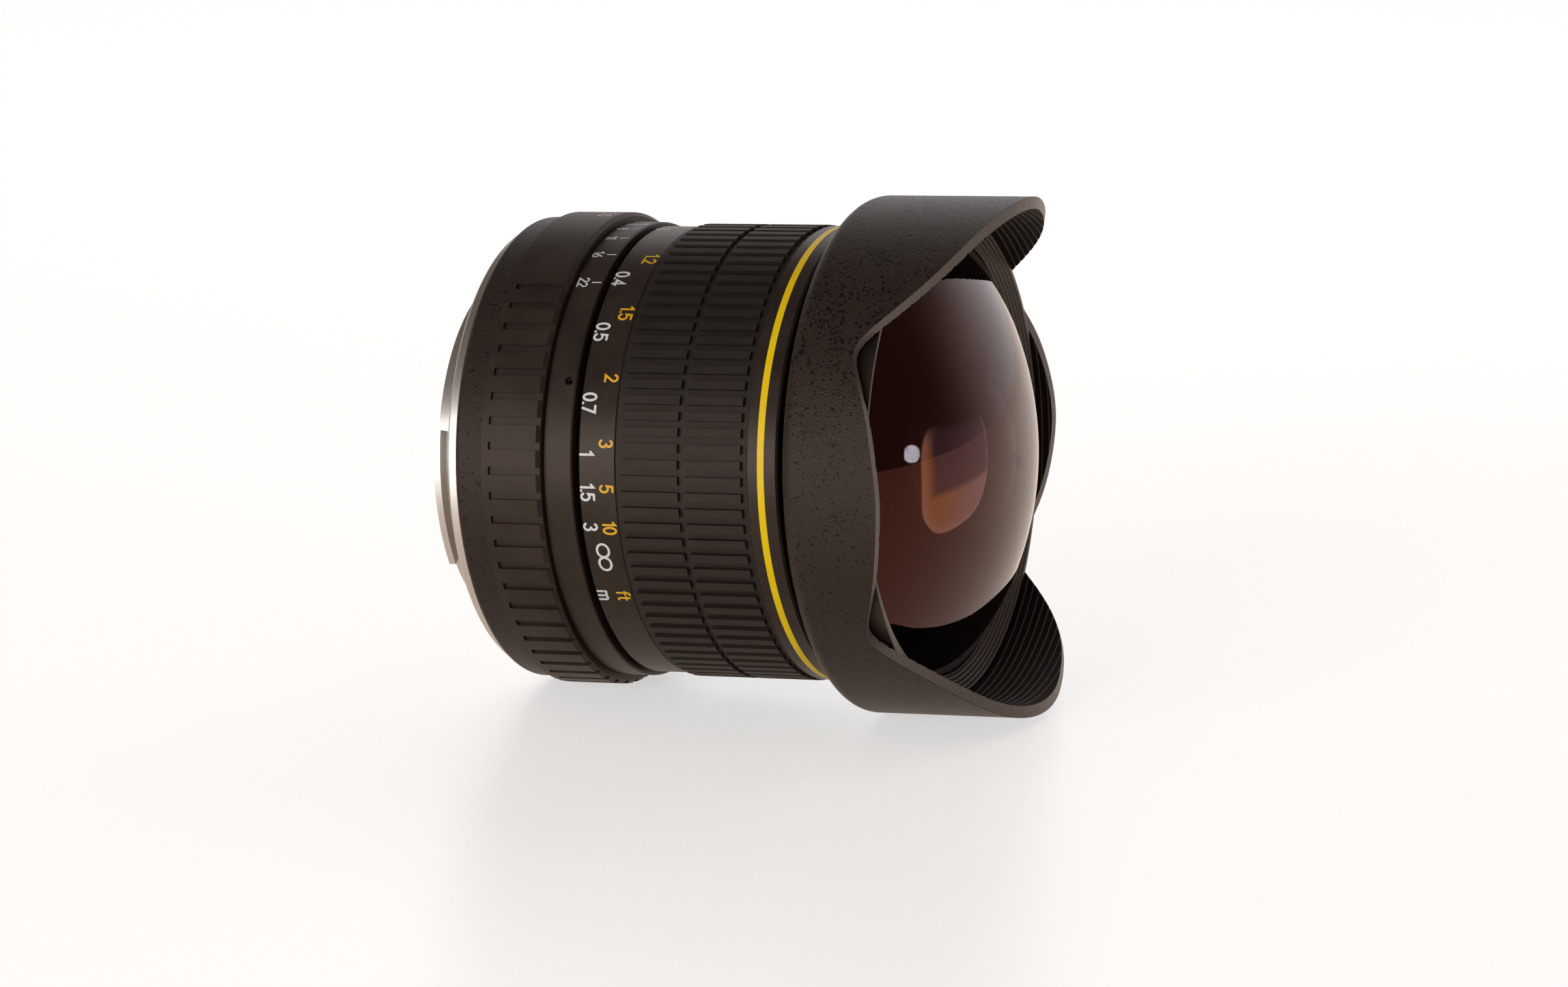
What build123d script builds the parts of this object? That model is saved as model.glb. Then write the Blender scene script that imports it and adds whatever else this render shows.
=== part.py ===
from build123d import *
import math
import os

# A manual fisheye prime lens with a fixed petal hood, in millimetres.
# +X is the optical axis towards the subject, +Z is up, and the origin is the
# centre of the mount flange's rear face. Angles around the axis run from +Y
# towards +Z, so the top is at 90 degrees and the near side at 180.

os.makedirs("parts", exist_ok=True)

# Clearances
RUN = 0.05          # radial running fit of a turning or sliding ring
SLIP = 0.04         # radial gap between fixed pieces that push together
RING_GAP = 0.15     # axial gap beside a turning ring
THRUST_GAP = 0.05   # axial gap at a thrust face
SLOT_GAP = 0.04     # gap on each side of a pin in its slot
HEAD_GAP = 0.12     # gap round and over a screw head in its pocket
CEMENT = 0.01       # cement between two elements of a doublet
GLASS_GAP = 0.05    # radial gap between a lens element and its bore
SEAT_GAP = 0.05     # axial gap between glass and the edge that holds it

# Screws of the chassis
SCREW_R = 0.7
HEAD_R = 1.3
HEAD_T = 0.8
SCREW_L = 3.4
GUIDE_END_SCREW_L = 3.0
POCKET_REACH = 30.0
SMALL_SCREW_R = 0.5
SMALL_HEAD_R = 0.9
SMALL_HEAD_T = 0.6

# The barrel's outer radius is the size that the other radii are stacked on
BARREL_R = 30.4
BARREL_WALL = 2.9
BARREL_FLOOR = 3.0
BARREL_SHOULDER = 0.8
BARREL_REACH = 6.15

# Bayonet mount
FLANGE_RIM = 2.1
FLANGE_T = 1.7
FLANGE_CHAMFER = 0.3
BOSS_STEP = 5.1
BOSS_WALL = 2.7
LUG_RISE = 1.7
LUG_REACH = 4.7
LUG_T = 1.0
LUG_SPAN = 44.5
LUG_AT = (187.2, 307.2, 67.2)
SHIM_T = 0.2
MOUNT_SCREW_INSET = 1.5
MOUNT_SCREW_AT = (45.0, 135.0, 225.0, 315.0)
LOCK_HOLE_R = 1.6
LOCK_HOLE_DEPTH = 1.0
LOCK_HOLE_AT = 205.0

# Rear light baffle
BAFFLE_INSET = 0.4
BAFFLE_T = 0.8
BAFFLE_DEPTH = 5.5
BAFFLE_WALL = 1.0
BAFFLE_OPEN_Y = 30.0
BAFFLE_OPEN_Z = 22.0
BAFFLE_CORNER = 4.0
BAFFLE_SCREW_AT = (0.0, 120.0, 240.0)
BAFFLE_SCREW_L = 2.4
BAFFLE_SCREW_INSET = 1.6

# Outside rings: how far each stands out from the barrel, and how long it is
COVER_RISE = 3.5
COVER_LENGTH = 4.5
COVER_WALL = 2.2
COVER_LIP_T = 1.4
COVER_ROUND = 0.8
SEAM_CHAMFER = 0.2
APERTURE_RISE = 4.3
APERTURE_LENGTH = 9.05
APERTURE_CHAMFER = 0.55
INDEX_RISE = 2.9
INDEX_LENGTH = 4.3
SET_SCREW_R = 0.6
SET_SCREW_INSET = 1.2
SET_SCREW_SINK = 0.7
SET_SCREW_AT = (152.7, 272.7, 32.7)
FOCUS_GAP = 0.8
SCALE_RISE = 2.3
SCALE_LENGTH = 5.75
SCALE_CHAMFER = 0.2
GRIP_LENGTH = 20.2
COLLAR_RISE = 2.6
COLLAR_LENGTH = 4.7
COLLAR_CHAMFER = 0.3
ACCENT_INSET = 1.65
ACCENT_WIDTH = 1.1
ACCENT_DEPTH = 0.7

# Grooves of the aperture ring
GROOVE_COUNT = 45
GROOVE_PITCH = 5.94
GROOVE_FIRST = 127.7
GROOVE_INSET = 1.05
GROOVE_LAND = 0.05
GROOVE_WIDTH = 1.15
GROOVE_DEPTH = 0.45

# Rubber grip
GRIP_RISE = 2.15
GRIP_WALL = 0.65
GRIP_MARGIN = 0.85
RIB_HEIGHT = 0.6
RIB_COUNT = 90
RIB_WIDTH = 1.25
RIB_ROW_GAP = 0.9
RIB_FIRST = 1.0

# Fixed inner structure
CAM_SPACE = 2.2
GUIDE_WALL = 2.6
GUIDE_FLANGE_GAP = 0.5
GUIDE_FLANGE_T = 1.5
GUIDE_SCREW_INSET = 1.5
GUIDE_STEP_RISE = 1.2
GUIDE_STEP_T = 1.5
FLOOR_RELIEF = 0.2
THREE_AT = (30.0, 150.0, 270.0)
THREE_BETWEEN_AT = (90.0, 210.0, 330.0)
FRONT_WEB_T = 2.5
FRONT_BARREL_WALL = 1.9
FRONT_BARREL_REACH = 8.9
FRONT_FLANGE_GAP = 0.4
FRONT_FLANGE_T = 2.0

# Focus drive
FOCUS_THROW = 108.0
FOCUS_TRAVEL = 3.0
CAM_SETBACK = 5.6
CAM_WALL = 1.65
CAM_FLANGE_GAP = 1.5
CAM_FLANGE_T = 3.0
CAM_SCREW_L = 3.0
WASHER_T = 0.4
FOLLOWER_SETBACK = 8.0
ROLLER_R = 1.2
ROLLER_BORE = 0.55
ROLLER_INSET = 0.4
SLOT_OVERRUN = 0.3
FOLLOWER_HEAD_R = 1.1
FOLLOWER_HEAD_T = 0.7
FOLLOWER_SCREW_L = 7.0
STOP_SCREW_SETBACK = 9.0
STOP_SCREW_AT = 250.0
STOP_SCREW_R = 0.9
STOP_HEAD_R = 1.5

# Aperture drive
APERTURE_THROW = 52.0
ARM_AT = 64.0
ARM_WIDTH = 2.0
ARM_INSET = 0.8
ARM_T = 1.4
ARM_ROD_GAP = 0.5
ARM_ROD_T = 1.2
ARM_PAD_INSET = 0.85
ARM_PAD_LENGTH = 3.0
ARM_PAD_HALF = 6.5
ARM_PAD_T = 1.3
ARM_SCREW_STEP = 4.3
ARM_SCREW_L = 3.2
WINDOW_GAP = 0.5
FORK_HALF_WIDTH = 2.4
FORK_TIP = 0.2
CLICK_AT = 300.0
CLICK_INSET = 4.65
CLICK_COUNT = 6
CLICK_TRACK_WIDTH = 2.2
CLICK_TRACK_DEPTH = 0.55
CLICK_NOTCH_R = 0.5
BALL_R = 0.8
BALL_GAP = 0.1
SPRING_T = 0.25
SPRING_WIDTH = 3.0
SPRING_LENGTH = 8.5
SPRING_SCREW_STEP = 5.0
SPRING_SCREW_L = 2.6
DIMPLE_R = 0.5

# Hood: the petals' edge is given as points, each an angle up from the side and the
# distance back from the petal tips, and it is cut towards the axis
HOOD_GAP = 2.0
HOOD_FLOOR = 1.6
HOOD_REAR_RISE = 5.2
HOOD_WALL = 1.8
HOOD_CLEAR = 0.3
SHOULDER_LENGTH = 2.2
HOOD_SCREW_OUT = 2.2
HOOD_SCREW_L = 2.4
PETAL_REACH = 18.2
PETAL_FRONT = 3.0
PETAL_SIDE = ((0, 10.0), (10, 10.6), (20, 12.0), (25, 13.1), (28.5, 13.9), (30.7, 14.4), (32.8, 14.65),
              (34.8, 14.45), (36.5, 13.85), (38.5, 12.85), (42, 10.85), (45, 9.2))
PETAL_TOP = ((45, 9.2), (50, 6.8), (56, 4.6), (63, 2.85), (70, 1.65), (80, 0.4), (90, 0))
CUT_INSIDE = 12.0
CUT_OUTSIDE = 2.0
HOOD_RIB_PITCH = 1.1
HOOD_RIB_GAP = 0.7
HOOD_RIB_DEPTH = 0.25
HOOD_RIB_BACK = 15.2

# Front cell
DOME_RISE = 1.9
FRONT_CELL_WALL = 3.1
FRONT_CELL_FLOOR = 2.4
FRONT_CELL_SCREW_OUT = 0.6
GASKET_T = 0.3
GASKET_WIDTH = 2.2
RETAINER_SEAT = 0.46
RETAINER_GAP = 0.2
RETAINER_LENGTH = 1.9
RETAINER_SKIRT_T = 0.8
RETAINER_SKIRT = 2.0
RETAINER_STEPS = 6

# Glass, front to back: vertex and radius of the front face, then of the back face.
# The vertices count from the dome's seat, the front barrel's web and the tube's rear end.
GLASS_1 = (15.85, 49.75, 13.25, 20.5)
GLASS_2 = (16.0, 35.0, 14.2, 12.8)
GLASS_2_FLAT = 7.6
GLASS_3_R = 10.8
GLASS_3 = (3.5, -30.0, 2.1, 22.0)
GLASS_4_BACK = (-4.5, -26.0)
GLASS_5_R = 8.0
GLASS_5 = (-5.2, 25.0, -8.1, -40.0)
GLASS_6_R = 7.5
GLASS_6 = (26.9, 14.0, 22.6, -20.0)
GLASS_7_BACK = (21.1, 60.0)
GLASS_8_R = 9.0
GLASS_8 = (18.8, 60.0, 17.4, 16.0)
GLASS_9_BACK = (11.8, -24.0)
GLASS_10_R = 10.5
GLASS_10 = (9.3, 28.0, 5.6, -90.0)

# Optics barrel and diaphragm
OPTICS_GAP = 0.1
OPTICS_WALL = 4.4
OPTICS_BACK = 9.5
OPTICS_LENGTH = 22.8
OPTICS_FLANGE_GAP = 0.5
OPTICS_FLANGE_T = 1.6
OPTICS_SCREW_INSET = 2.4
LENS_LIP = 0.9
LENS_2_LIP = 2.0
LOCK_RING_T = 0.8
IRIS_OPEN_R = 5.2
IRIS_OPEN_GAP = 0.15
BLADE_COUNT = 6
BLADE_T = 0.12
BLADE_PITCH = 0.22
BLADE_LEAD = 40.0
BLADE_PIN_R = 0.5
BLADE_INSET = 2.6
PIVOT_EAR_R = 1.5
DRIVE_EAR_R = 1.1
DRIVE_REACH = 3.0
BLADE_SPAN = 112.0
BLADE_TURN = 18.6
IRIS_BASE_T = 0.9
IRIS_GAP = 0.12
IRIS_RING_T = 0.9
IRIS_RING_RIM = 1.7
IRIS_LEDGE = 0.3
IRIS_CUP_WALL = 2.2
IRIS_COVER_T = 0.6
IRIS_COVER_LAP = 1.3
IRIS_SCREW_OUT = 1.0
IRIS_SCREW_R = 0.45
IRIS_HEAD_R = 0.85
IRIS_HEAD_T = 0.5
IRIS_SCREW_BITE = 2.0

# Sliding focus cell
CELL_SLEEVE_GAP = 2.6
CELL_WALL = 1.6
CELL_REACH = 10.0
CELL_FRONT_GAP = 0.84
CELL_LAND = 3.5
CELL_WEB_BACK = 3.4
CELL_WEB_T = 3.2
CELL_BOSS_R = 3.0
TUBE_WALL = 1.9
TUBE_NECK_WALL = 2.3
TUBE_BACK = 17.4
TUBE_SHORT = 0.2
TUBE_STEP = 2.6

# Radii worked out from the driving dimensions, from the barrel inwards
barrel_bore = BARREL_R - BARREL_WALL
cam_r = barrel_bore - CAM_SPACE
cam_bore = cam_r - CAM_WALL
guide_r = cam_bore - RUN
guide_bore = guide_r - GUIDE_WALL
guide_flange_r = barrel_bore - GUIDE_FLANGE_GAP
guide_screw_ring = guide_flange_r - GUIDE_SCREW_INSET
guide_step_r = guide_r + GUIDE_STEP_RISE
guide_end_screw_ring = guide_r - GUIDE_WALL / 2
floor_bore = guide_bore + FLOOR_RELIEF
roller_top = cam_r - ROLLER_INSET
optics_r = guide_bore - OPTICS_GAP
glass_2_r = optics_r - OPTICS_WALL
iris_ring_r = optics_r - IRIS_CUP_WALL
iris_wall_r = iris_ring_r - IRIS_LEDGE
iris_screw_ring = iris_ring_r + IRIS_SCREW_OUT
blade_drive_r = iris_ring_r - IRIS_RING_RIM
blade_pivot_r = blade_drive_r - DRIVE_REACH
blade_out_r = blade_pivot_r - BLADE_INSET
blade_in_r = IRIS_OPEN_R + IRIS_OPEN_GAP
iris_ring_bore = blade_pivot_r - IRIS_RING_RIM
iris_cover_bore = iris_ring_bore - IRIS_COVER_LAP
arm_rod_low = iris_ring_r + ARM_ROD_GAP
arm_rod_high = arm_rod_low + ARM_ROD_T
fork_tip_r = arm_rod_high + FORK_TIP
cell_land_r = guide_bore - RUN
cell_sleeve_r = guide_bore - CELL_SLEEVE_GAP
tube_r = GLASS_10_R + TUBE_WALL
tube_neck_r = GLASS_6_R + TUBE_NECK_WALL
boss_top = math.sqrt(cell_land_r ** 2 - CELL_BOSS_R ** 2)
spring_top = math.sqrt(barrel_bore ** 2 - (SPRING_WIDTH / 2) ** 2) - SLIP

# Radii from the barrel outwards
ring_bore = BARREL_R + RUN
barrel_shoulder_r = BARREL_R + BARREL_SHOULDER
flange_r = BARREL_R + FLANGE_RIM
mount_screw_ring = BARREL_R - MOUNT_SCREW_INSET
boss_r = BARREL_R - BOSS_STEP
throat_r = boss_r - BOSS_WALL
lug_r = boss_r + LUG_RISE
click_track_r = BARREL_R + CLICK_TRACK_DEPTH
ball_top = click_track_r - BALL_GAP
cover_r = BARREL_R + COVER_RISE
aperture_ring_r = BARREL_R + APERTURE_RISE
index_ring_r = BARREL_R + INDEX_RISE
scale_r = BARREL_R + SCALE_RISE
grip_base_r = BARREL_R + GRIP_RISE
grip_rib_r = grip_base_r + RIB_HEIGHT
grip_seat_r = grip_base_r - GRIP_WALL
collar_r = BARREL_R + COLLAR_RISE
front_barrel_bore = BARREL_R - FRONT_BARREL_WALL
optics_flange_r = front_barrel_bore - OPTICS_FLANGE_GAP
optics_screw_ring = optics_flange_r - OPTICS_SCREW_INSET
glass_1_r = BARREL_R + DOME_RISE
front_cell_r = glass_1_r + FRONT_CELL_WALL
front_cell_screw_ring = BARREL_R + FRONT_CELL_SCREW_OUT
hood_screw_ring = BARREL_R + HOOD_SCREW_OUT
hood_rear_r = BARREL_R + HOOD_REAR_RISE
hood_bore = front_cell_r + HOOD_CLEAR
hood_r = hood_bore + HOOD_WALL
front_flange_r = hood_bore - FRONT_FLANGE_GAP

# Stations of the outside, from the flange forward
barrel_start = FLANGE_T + SHIM_T
floor_end = barrel_start + BARREL_FLOOR
shoulder_start = FLANGE_T + COVER_LIP_T
baffle_x = BAFFLE_INSET - LUG_REACH
baffle_screw_x = baffle_x + BAFFLE_DEPTH - BAFFLE_SCREW_INSET
cover_end = FLANGE_T + COVER_LENGTH
aperture_start = cover_end + RING_GAP
aperture_end = aperture_start + APERTURE_LENGTH
groove_start = aperture_start + GROOVE_INSET
groove_length = APERTURE_LENGTH - GROOVE_INSET - GROOVE_LAND
index_start = aperture_end + RING_GAP
index_end = index_start + INDEX_LENGTH
set_screw_x = index_end - SET_SCREW_INSET
barrel_end = index_end + BARREL_REACH
scale_start = index_end + FOCUS_GAP
grip_start = scale_start + SCALE_LENGTH
grip_end = grip_start + GRIP_LENGTH
rib_length = (GRIP_LENGTH - 2 * GRIP_MARGIN - RIB_ROW_GAP) / 2
accent_start = grip_end + ACCENT_INSET
collar_end = grip_end + COLLAR_LENGTH
hood_start = collar_end + HOOD_GAP
shoulder_end = hood_start + SHOULDER_LENGTH
flange_start = hood_start + HOOD_FLOOR
flange_end = flange_start + FRONT_FLANGE_T
seat_x = flange_end + FRONT_CELL_FLOOR
glass_1_flat = seat_x + GASKET_T
petal_tip = glass_1_flat + PETAL_REACH
hood_rib_start = petal_tip - HOOD_RIB_BACK
web_end = flange_start - FRONT_BARREL_REACH
guide_end = web_end - FRONT_WEB_T

# Stations of the inside
guide_flange_end = floor_end + GUIDE_FLANGE_T
cam_start = guide_flange_end + CAM_SETBACK
cam_end = guide_end - WASHER_T - THRUST_GAP
cam_flange_x = barrel_end + CAM_FLANGE_GAP
cam_screw_x = cam_flange_x + CAM_FLANGE_T / 2
stop_screw_x = guide_end - STOP_SCREW_SETBACK
follower_x = cam_start + FOLLOWER_SETBACK
arm_pad_x = aperture_start + ARM_PAD_INSET
arm_x = arm_pad_x + ARM_INSET
click_x = aperture_start + CLICK_INSET
spring_screw_x = click_x + SPRING_SCREW_STEP
optics_start = web_end - OPTICS_BACK
optics_end = optics_start + OPTICS_LENGTH
iris_plate_start = optics_start - IRIS_BASE_T
stack_end = iris_plate_start - IRIS_GAP - BLADE_COUNT * BLADE_PITCH
iris_ring_start = stack_end - IRIS_RING_T
iris_cover_end = iris_ring_start - IRIS_GAP
iris_cover_start = iris_cover_end - IRIS_COVER_T
cell_start = follower_x - CELL_REACH
cell_end = iris_cover_start - IRIS_HEAD_T - CELL_FRONT_GAP
cell_web_x = follower_x - CELL_WEB_BACK
tube_start = follower_x - TUBE_BACK
tube_end = cell_end - TUBE_SHORT
tube_step_x = follower_x + TUBE_STEP

# Angles that the aperture arm and the fork sweep through
fork_half = math.degrees(FORK_HALF_WIDTH / iris_ring_r)
fork_window = (ARM_AT - fork_half - 2, ARM_AT + APERTURE_THROW + fork_half + 2)
arm_window = (ARM_AT - ARM_PAD_HALF - WINDOW_GAP,
              ARM_AT + APERTURE_THROW + ARM_PAD_HALF + WINDOW_GAP)


def stationed(datum, faces):
    """An element's faces with their vertices counted from a datum on the axis."""
    return tuple(value if place % 2 else datum + value for place, value in enumerate(faces))


glass_1 = stationed(glass_1_flat, GLASS_1)
glass_2 = stationed(web_end, GLASS_2)
glass_2_flat = web_end + GLASS_2_FLAT
glass_3 = stationed(web_end, GLASS_3)
glass_4_back = stationed(web_end, GLASS_4_BACK)
glass_5 = stationed(web_end, GLASS_5)
glass_6 = stationed(tube_start, GLASS_6)
glass_7_back = stationed(tube_start, GLASS_7_BACK)
glass_8 = stationed(tube_start, GLASS_8)
glass_9_back = stationed(tube_start, GLASS_9_BACK)
glass_10 = stationed(tube_start, GLASS_10)
dome_centre = glass_1[0] - glass_1[1]
retainer_x = dome_centre + math.sqrt(glass_1[1] ** 2 - glass_1_r ** 2) + RETAINER_SEAT
retainer_in_r = math.sqrt(glass_1[1] ** 2 - (retainer_x - dome_centre) ** 2) + RETAINER_GAP
retainer_end = retainer_x + RETAINER_LENGTH


def turned(*points):
    """A solid of revolution about the optical axis from (x, r) points."""
    return revolve(make_face(Polyline(*points, close=True)), Axis.X, 360)


def tube(x0, x1, inner, outer):
    """A plain tube between two stations on the axis."""
    return turned((x0, inner), (x1, inner), (x1, outer), (x0, outer))


def spun(*curves):
    """A solid of revolution about the optical axis from joined lines and arcs."""
    return revolve(make_face(Wire([edge for curve in curves for edge in curve.edges()])), Axis.X, 360)


def around(shape, degrees):
    """A shape turned about the optical axis, + from +Y towards +Z."""
    return shape.rotate(Axis.X, degrees)


def radial_pin(x, degrees, r0, r1, radius):
    """A round pin along a radius, from r0 out to r1, at station x."""
    pin = Cylinder(radius, r1 - r0, align=(Align.CENTER, Align.CENTER, Align.MIN))
    return around(Pos(x, r0, 0) * Rot(-90, 0, 0) * pin, degrees)


def axial_pin(x0, x1, r, degrees, radius):
    """A round pin along the axis between two stations, at radius r."""
    low, high = min(x0, x1), max(x0, x1)
    pin = Cylinder(radius, high - low, align=(Align.CENTER, Align.CENTER, Align.MIN))
    return around(Pos(low, r, 0) * Rot(0, 90, 0) * pin, degrees)


def sector(x0, x1, r0, r1, start, stop):
    """A sector of a tube between two angles."""
    face = make_face(Polyline((x0, r0), (x1, r0), (x1, r1), (x0, r1), close=True))
    return around(revolve(face, Axis.X, stop - start), start)


def axial_screw(seat, r, degrees, toward, length=SCREW_L, shank=SCREW_R, head=HEAD_R, height=HEAD_T):
    """A slotted screw with its head seated at one station, its shank going toward +1 or -1."""
    screw = axial_pin(seat, seat + toward * length, r, degrees, shank)
    screw += axial_pin(seat, seat - toward * height, r, degrees, head)
    slot = Box(height, 3 * head, 0.35 * head)
    return screw - around(Pos(seat - toward * height, r, 0) * slot, degrees)


def axial_pocket(seat, r, degrees, toward, length=SCREW_L, shank=SCREW_R, head=HEAD_R, depth=POCKET_REACH):
    """The hole and the head pocket that an axial screw needs."""
    hole = axial_pin(seat, seat + toward * (length + HEAD_GAP), r, degrees, shank + SLIP)
    return hole + axial_pin(seat, seat - toward * depth, r, degrees, head + HEAD_GAP)


def radial_screw(x, degrees, seat, inward, length, shank, head, height):
    """A slotted screw along a radius; its shank goes in, or out where inward is false."""
    toward = -1 if inward else 1
    low, high = sorted((seat, seat + toward * length))
    screw = radial_pin(x, degrees, low, high, shank)
    low, high = sorted((seat, seat - toward * height))
    screw += radial_pin(x, degrees, low, high, head)
    slot = Box(3 * head, height, 0.35 * head)
    return screw - around(Pos(x, seat - toward * height, 0) * slot, degrees)


def surface_x(vertex, radius, r):
    """Station of a lens face at height r; a positive radius has its centre behind the vertex."""
    return vertex - radius + math.copysign(math.sqrt(radius * radius - r * r), radius)


def element(front, front_radius, back, back_radius, edge, back_flat=None):
    """A glass element with spherical faces, and a flat ring behind where one is stated."""
    clear = edge
    if back_flat is not None:
        clear = math.sqrt(back_radius ** 2 - (back_flat - back + back_radius) ** 2)
    front_edge = surface_x(front, front_radius, edge)
    back_edge = surface_x(back, back_radius, clear)
    curves = [
        Line((back, 0), (front, 0)),
        ThreePointArc((front, 0), (surface_x(front, front_radius, edge / 2), edge / 2), (front_edge, edge)),
        Line((front_edge, edge), (back_edge, edge)),
        ThreePointArc((back_edge, clear), (surface_x(back, back_radius, clear / 2), clear / 2), (back, 0)),
    ]
    if back_flat is not None:
        curves.insert(3, Line((back_edge, edge), (back_edge, clear)))
    return spun(*curves)


def save(name, *shapes):
    """Write one sub-part; several shapes stay separate solids of one group."""
    solids = [solid for shape in shapes for solid in shape.solids()]
    if len(shapes) == 1 and len(solids) != 1:
        print("check", name, len(solids), "solids")
    export_step(solids[0] if len(solids) == 1 else Compound(children=solids), f"parts/{name}.step")


def mount_bayonet():
    """The steel bayonet: flange, boss, three lugs, screw pockets and the lock pin's hole."""
    body = turned(
        (-LUG_REACH, throat_r), (-LUG_REACH, boss_r), (0, boss_r), (0, flange_r - FLANGE_CHAMFER),
        (FLANGE_CHAMFER, flange_r), (FLANGE_T, flange_r), (FLANGE_T, throat_r))
    for centre in LUG_AT:
        body += sector(-LUG_REACH, LUG_T - LUG_REACH, boss_r - 1, lug_r,
                       centre - LUG_SPAN / 2, centre + LUG_SPAN / 2)
    for angle in MOUNT_SCREW_AT:
        body -= axial_pocket(HEAD_T + HEAD_GAP, mount_screw_ring, angle, 1)
    for angle in BAFFLE_SCREW_AT:
        body -= radial_pin(baffle_screw_x, angle, throat_r - 1, throat_r + 1.6, SMALL_SCREW_R + SLIP)
    return body - axial_pin(-1, LOCK_HOLE_DEPTH, mount_screw_ring, LOCK_HOLE_AT, LOCK_HOLE_R)


def mount_shim():
    """The thin ring that sets the flange distance."""
    body = tube(FLANGE_T, barrel_start, floor_bore + 1.6, BARREL_R - 0.1)
    for angle in MOUNT_SCREW_AT:
        body -= axial_pin(FLANGE_T - 1, barrel_start + 1, mount_screw_ring, angle, SCREW_R + SLIP)
    return body


def rear_baffle():
    """The black cup in the throat with a rounded rectangular light opening."""
    outer = throat_r - SLIP
    body = turned(
        (baffle_x, 0), (baffle_x + BAFFLE_T, 0), (baffle_x + BAFFLE_T, outer - BAFFLE_WALL),
        (baffle_x + BAFFLE_DEPTH, outer - BAFFLE_WALL), (baffle_x + BAFFLE_DEPTH, outer), (baffle_x, outer))
    opening = RectangleRounded(BAFFLE_OPEN_Y, BAFFLE_OPEN_Z, BAFFLE_CORNER)
    body -= extrude(Plane.YZ.offset(baffle_x - 1) * opening, BAFFLE_T + 2)
    for angle in BAFFLE_SCREW_AT:
        body -= radial_pin(baffle_screw_x, angle, outer - 2, outer + 1, SMALL_SCREW_R + SLIP)
    return body


def baffle_screw(angle):
    """A screw from inside the baffle's wall out into the mount's boss."""
    wall = throat_r - SLIP - BAFFLE_WALL
    seat = math.sqrt(wall ** 2 - SMALL_HEAD_R ** 2) - SLIP
    return radial_screw(baffle_screw_x, angle, seat, False, BAFFLE_SCREW_L, SMALL_SCREW_R, SMALL_HEAD_R,
                        SMALL_HEAD_T)


def rear_cover():
    """The textured cover ring, with an inner lip that the mount flange clamps."""
    inner = cover_r - COVER_WALL
    corner = FLANGE_T + COVER_ROUND
    bulge = COVER_ROUND * (1 - math.sqrt(0.5))
    return spun(
        Line((FLANGE_T, ring_bore), (FLANGE_T, cover_r - COVER_ROUND)),
        ThreePointArc((FLANGE_T, cover_r - COVER_ROUND), (FLANGE_T + bulge, cover_r - bulge),
                      (corner, cover_r)),
        Polyline((corner, cover_r), (cover_end - SEAM_CHAMFER, cover_r), (cover_end, cover_r - SEAM_CHAMFER),
                 (cover_end, inner),
                 (shoulder_start, inner), (shoulder_start, ring_bore), (FLANGE_T, ring_bore)))


def main_barrel():
    """The fixed chassis tube that the aperture ring and the focus ring turn on."""
    body = turned(
        (barrel_start, floor_bore), (floor_end, floor_bore), (floor_end, barrel_bore),
        (barrel_end, barrel_bore), (barrel_end, BARREL_R), (floor_end, BARREL_R),
        (floor_end, barrel_shoulder_r), (shoulder_start, barrel_shoulder_r),
        (shoulder_start, BARREL_R), (barrel_start, BARREL_R))
    body -= sector(arm_pad_x - 0.3, arm_pad_x + ARM_PAD_LENGTH + 0.3, barrel_bore - 1, BARREL_R + 1,
                   *arm_window)
    for angle in MOUNT_SCREW_AT:
        body -= axial_pin(barrel_start - 1, floor_end + 1, mount_screw_ring, angle, SCREW_R + SLIP)
    for angle in THREE_AT:
        body -= axial_pin(barrel_start - 1, floor_end + 1, guide_screw_ring, angle, SCREW_R + SLIP)
    for angle in SET_SCREW_AT:
        body -= radial_pin(set_screw_x, angle, BARREL_R - 1.2, BARREL_R + 1, SET_SCREW_R + SLIP)
    body -= radial_pin(click_x, CLICK_AT, barrel_bore - 1, BARREL_R + 1, BALL_R + SLOT_GAP)
    return body - radial_pin(spring_screw_x, CLICK_AT, barrel_bore - 1, BARREL_R - 0.3, SMALL_SCREW_R + SLIP)


def index_ring():
    """The fixed ring with the index and the depth of field scale."""
    body = turned(
        (index_start, BARREL_R + SLIP), (index_end, BARREL_R + SLIP),
        (index_end, index_ring_r - SEAM_CHAMFER), (index_end - SEAM_CHAMFER, index_ring_r),
        (index_start, index_ring_r))
    for angle in SET_SCREW_AT:
        body -= radial_pin(set_screw_x, angle, BARREL_R - 1, index_ring_r + 1, SET_SCREW_R + SLIP)
    return body


def set_screw(angle):
    """A headless set screw with a hexagon socket, sunk in the index ring."""
    top = index_ring_r - SET_SCREW_SINK
    screw = radial_pin(set_screw_x, angle, BARREL_R - 1.1, top, SET_SCREW_R)
    socket = extrude(RegularPolygon(SET_SCREW_R * 0.55, 6), 1.6)
    return screw - around(Pos(set_screw_x, top - 0.8, 0) * Rot(-90, 0, 0) * socket, angle)


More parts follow.
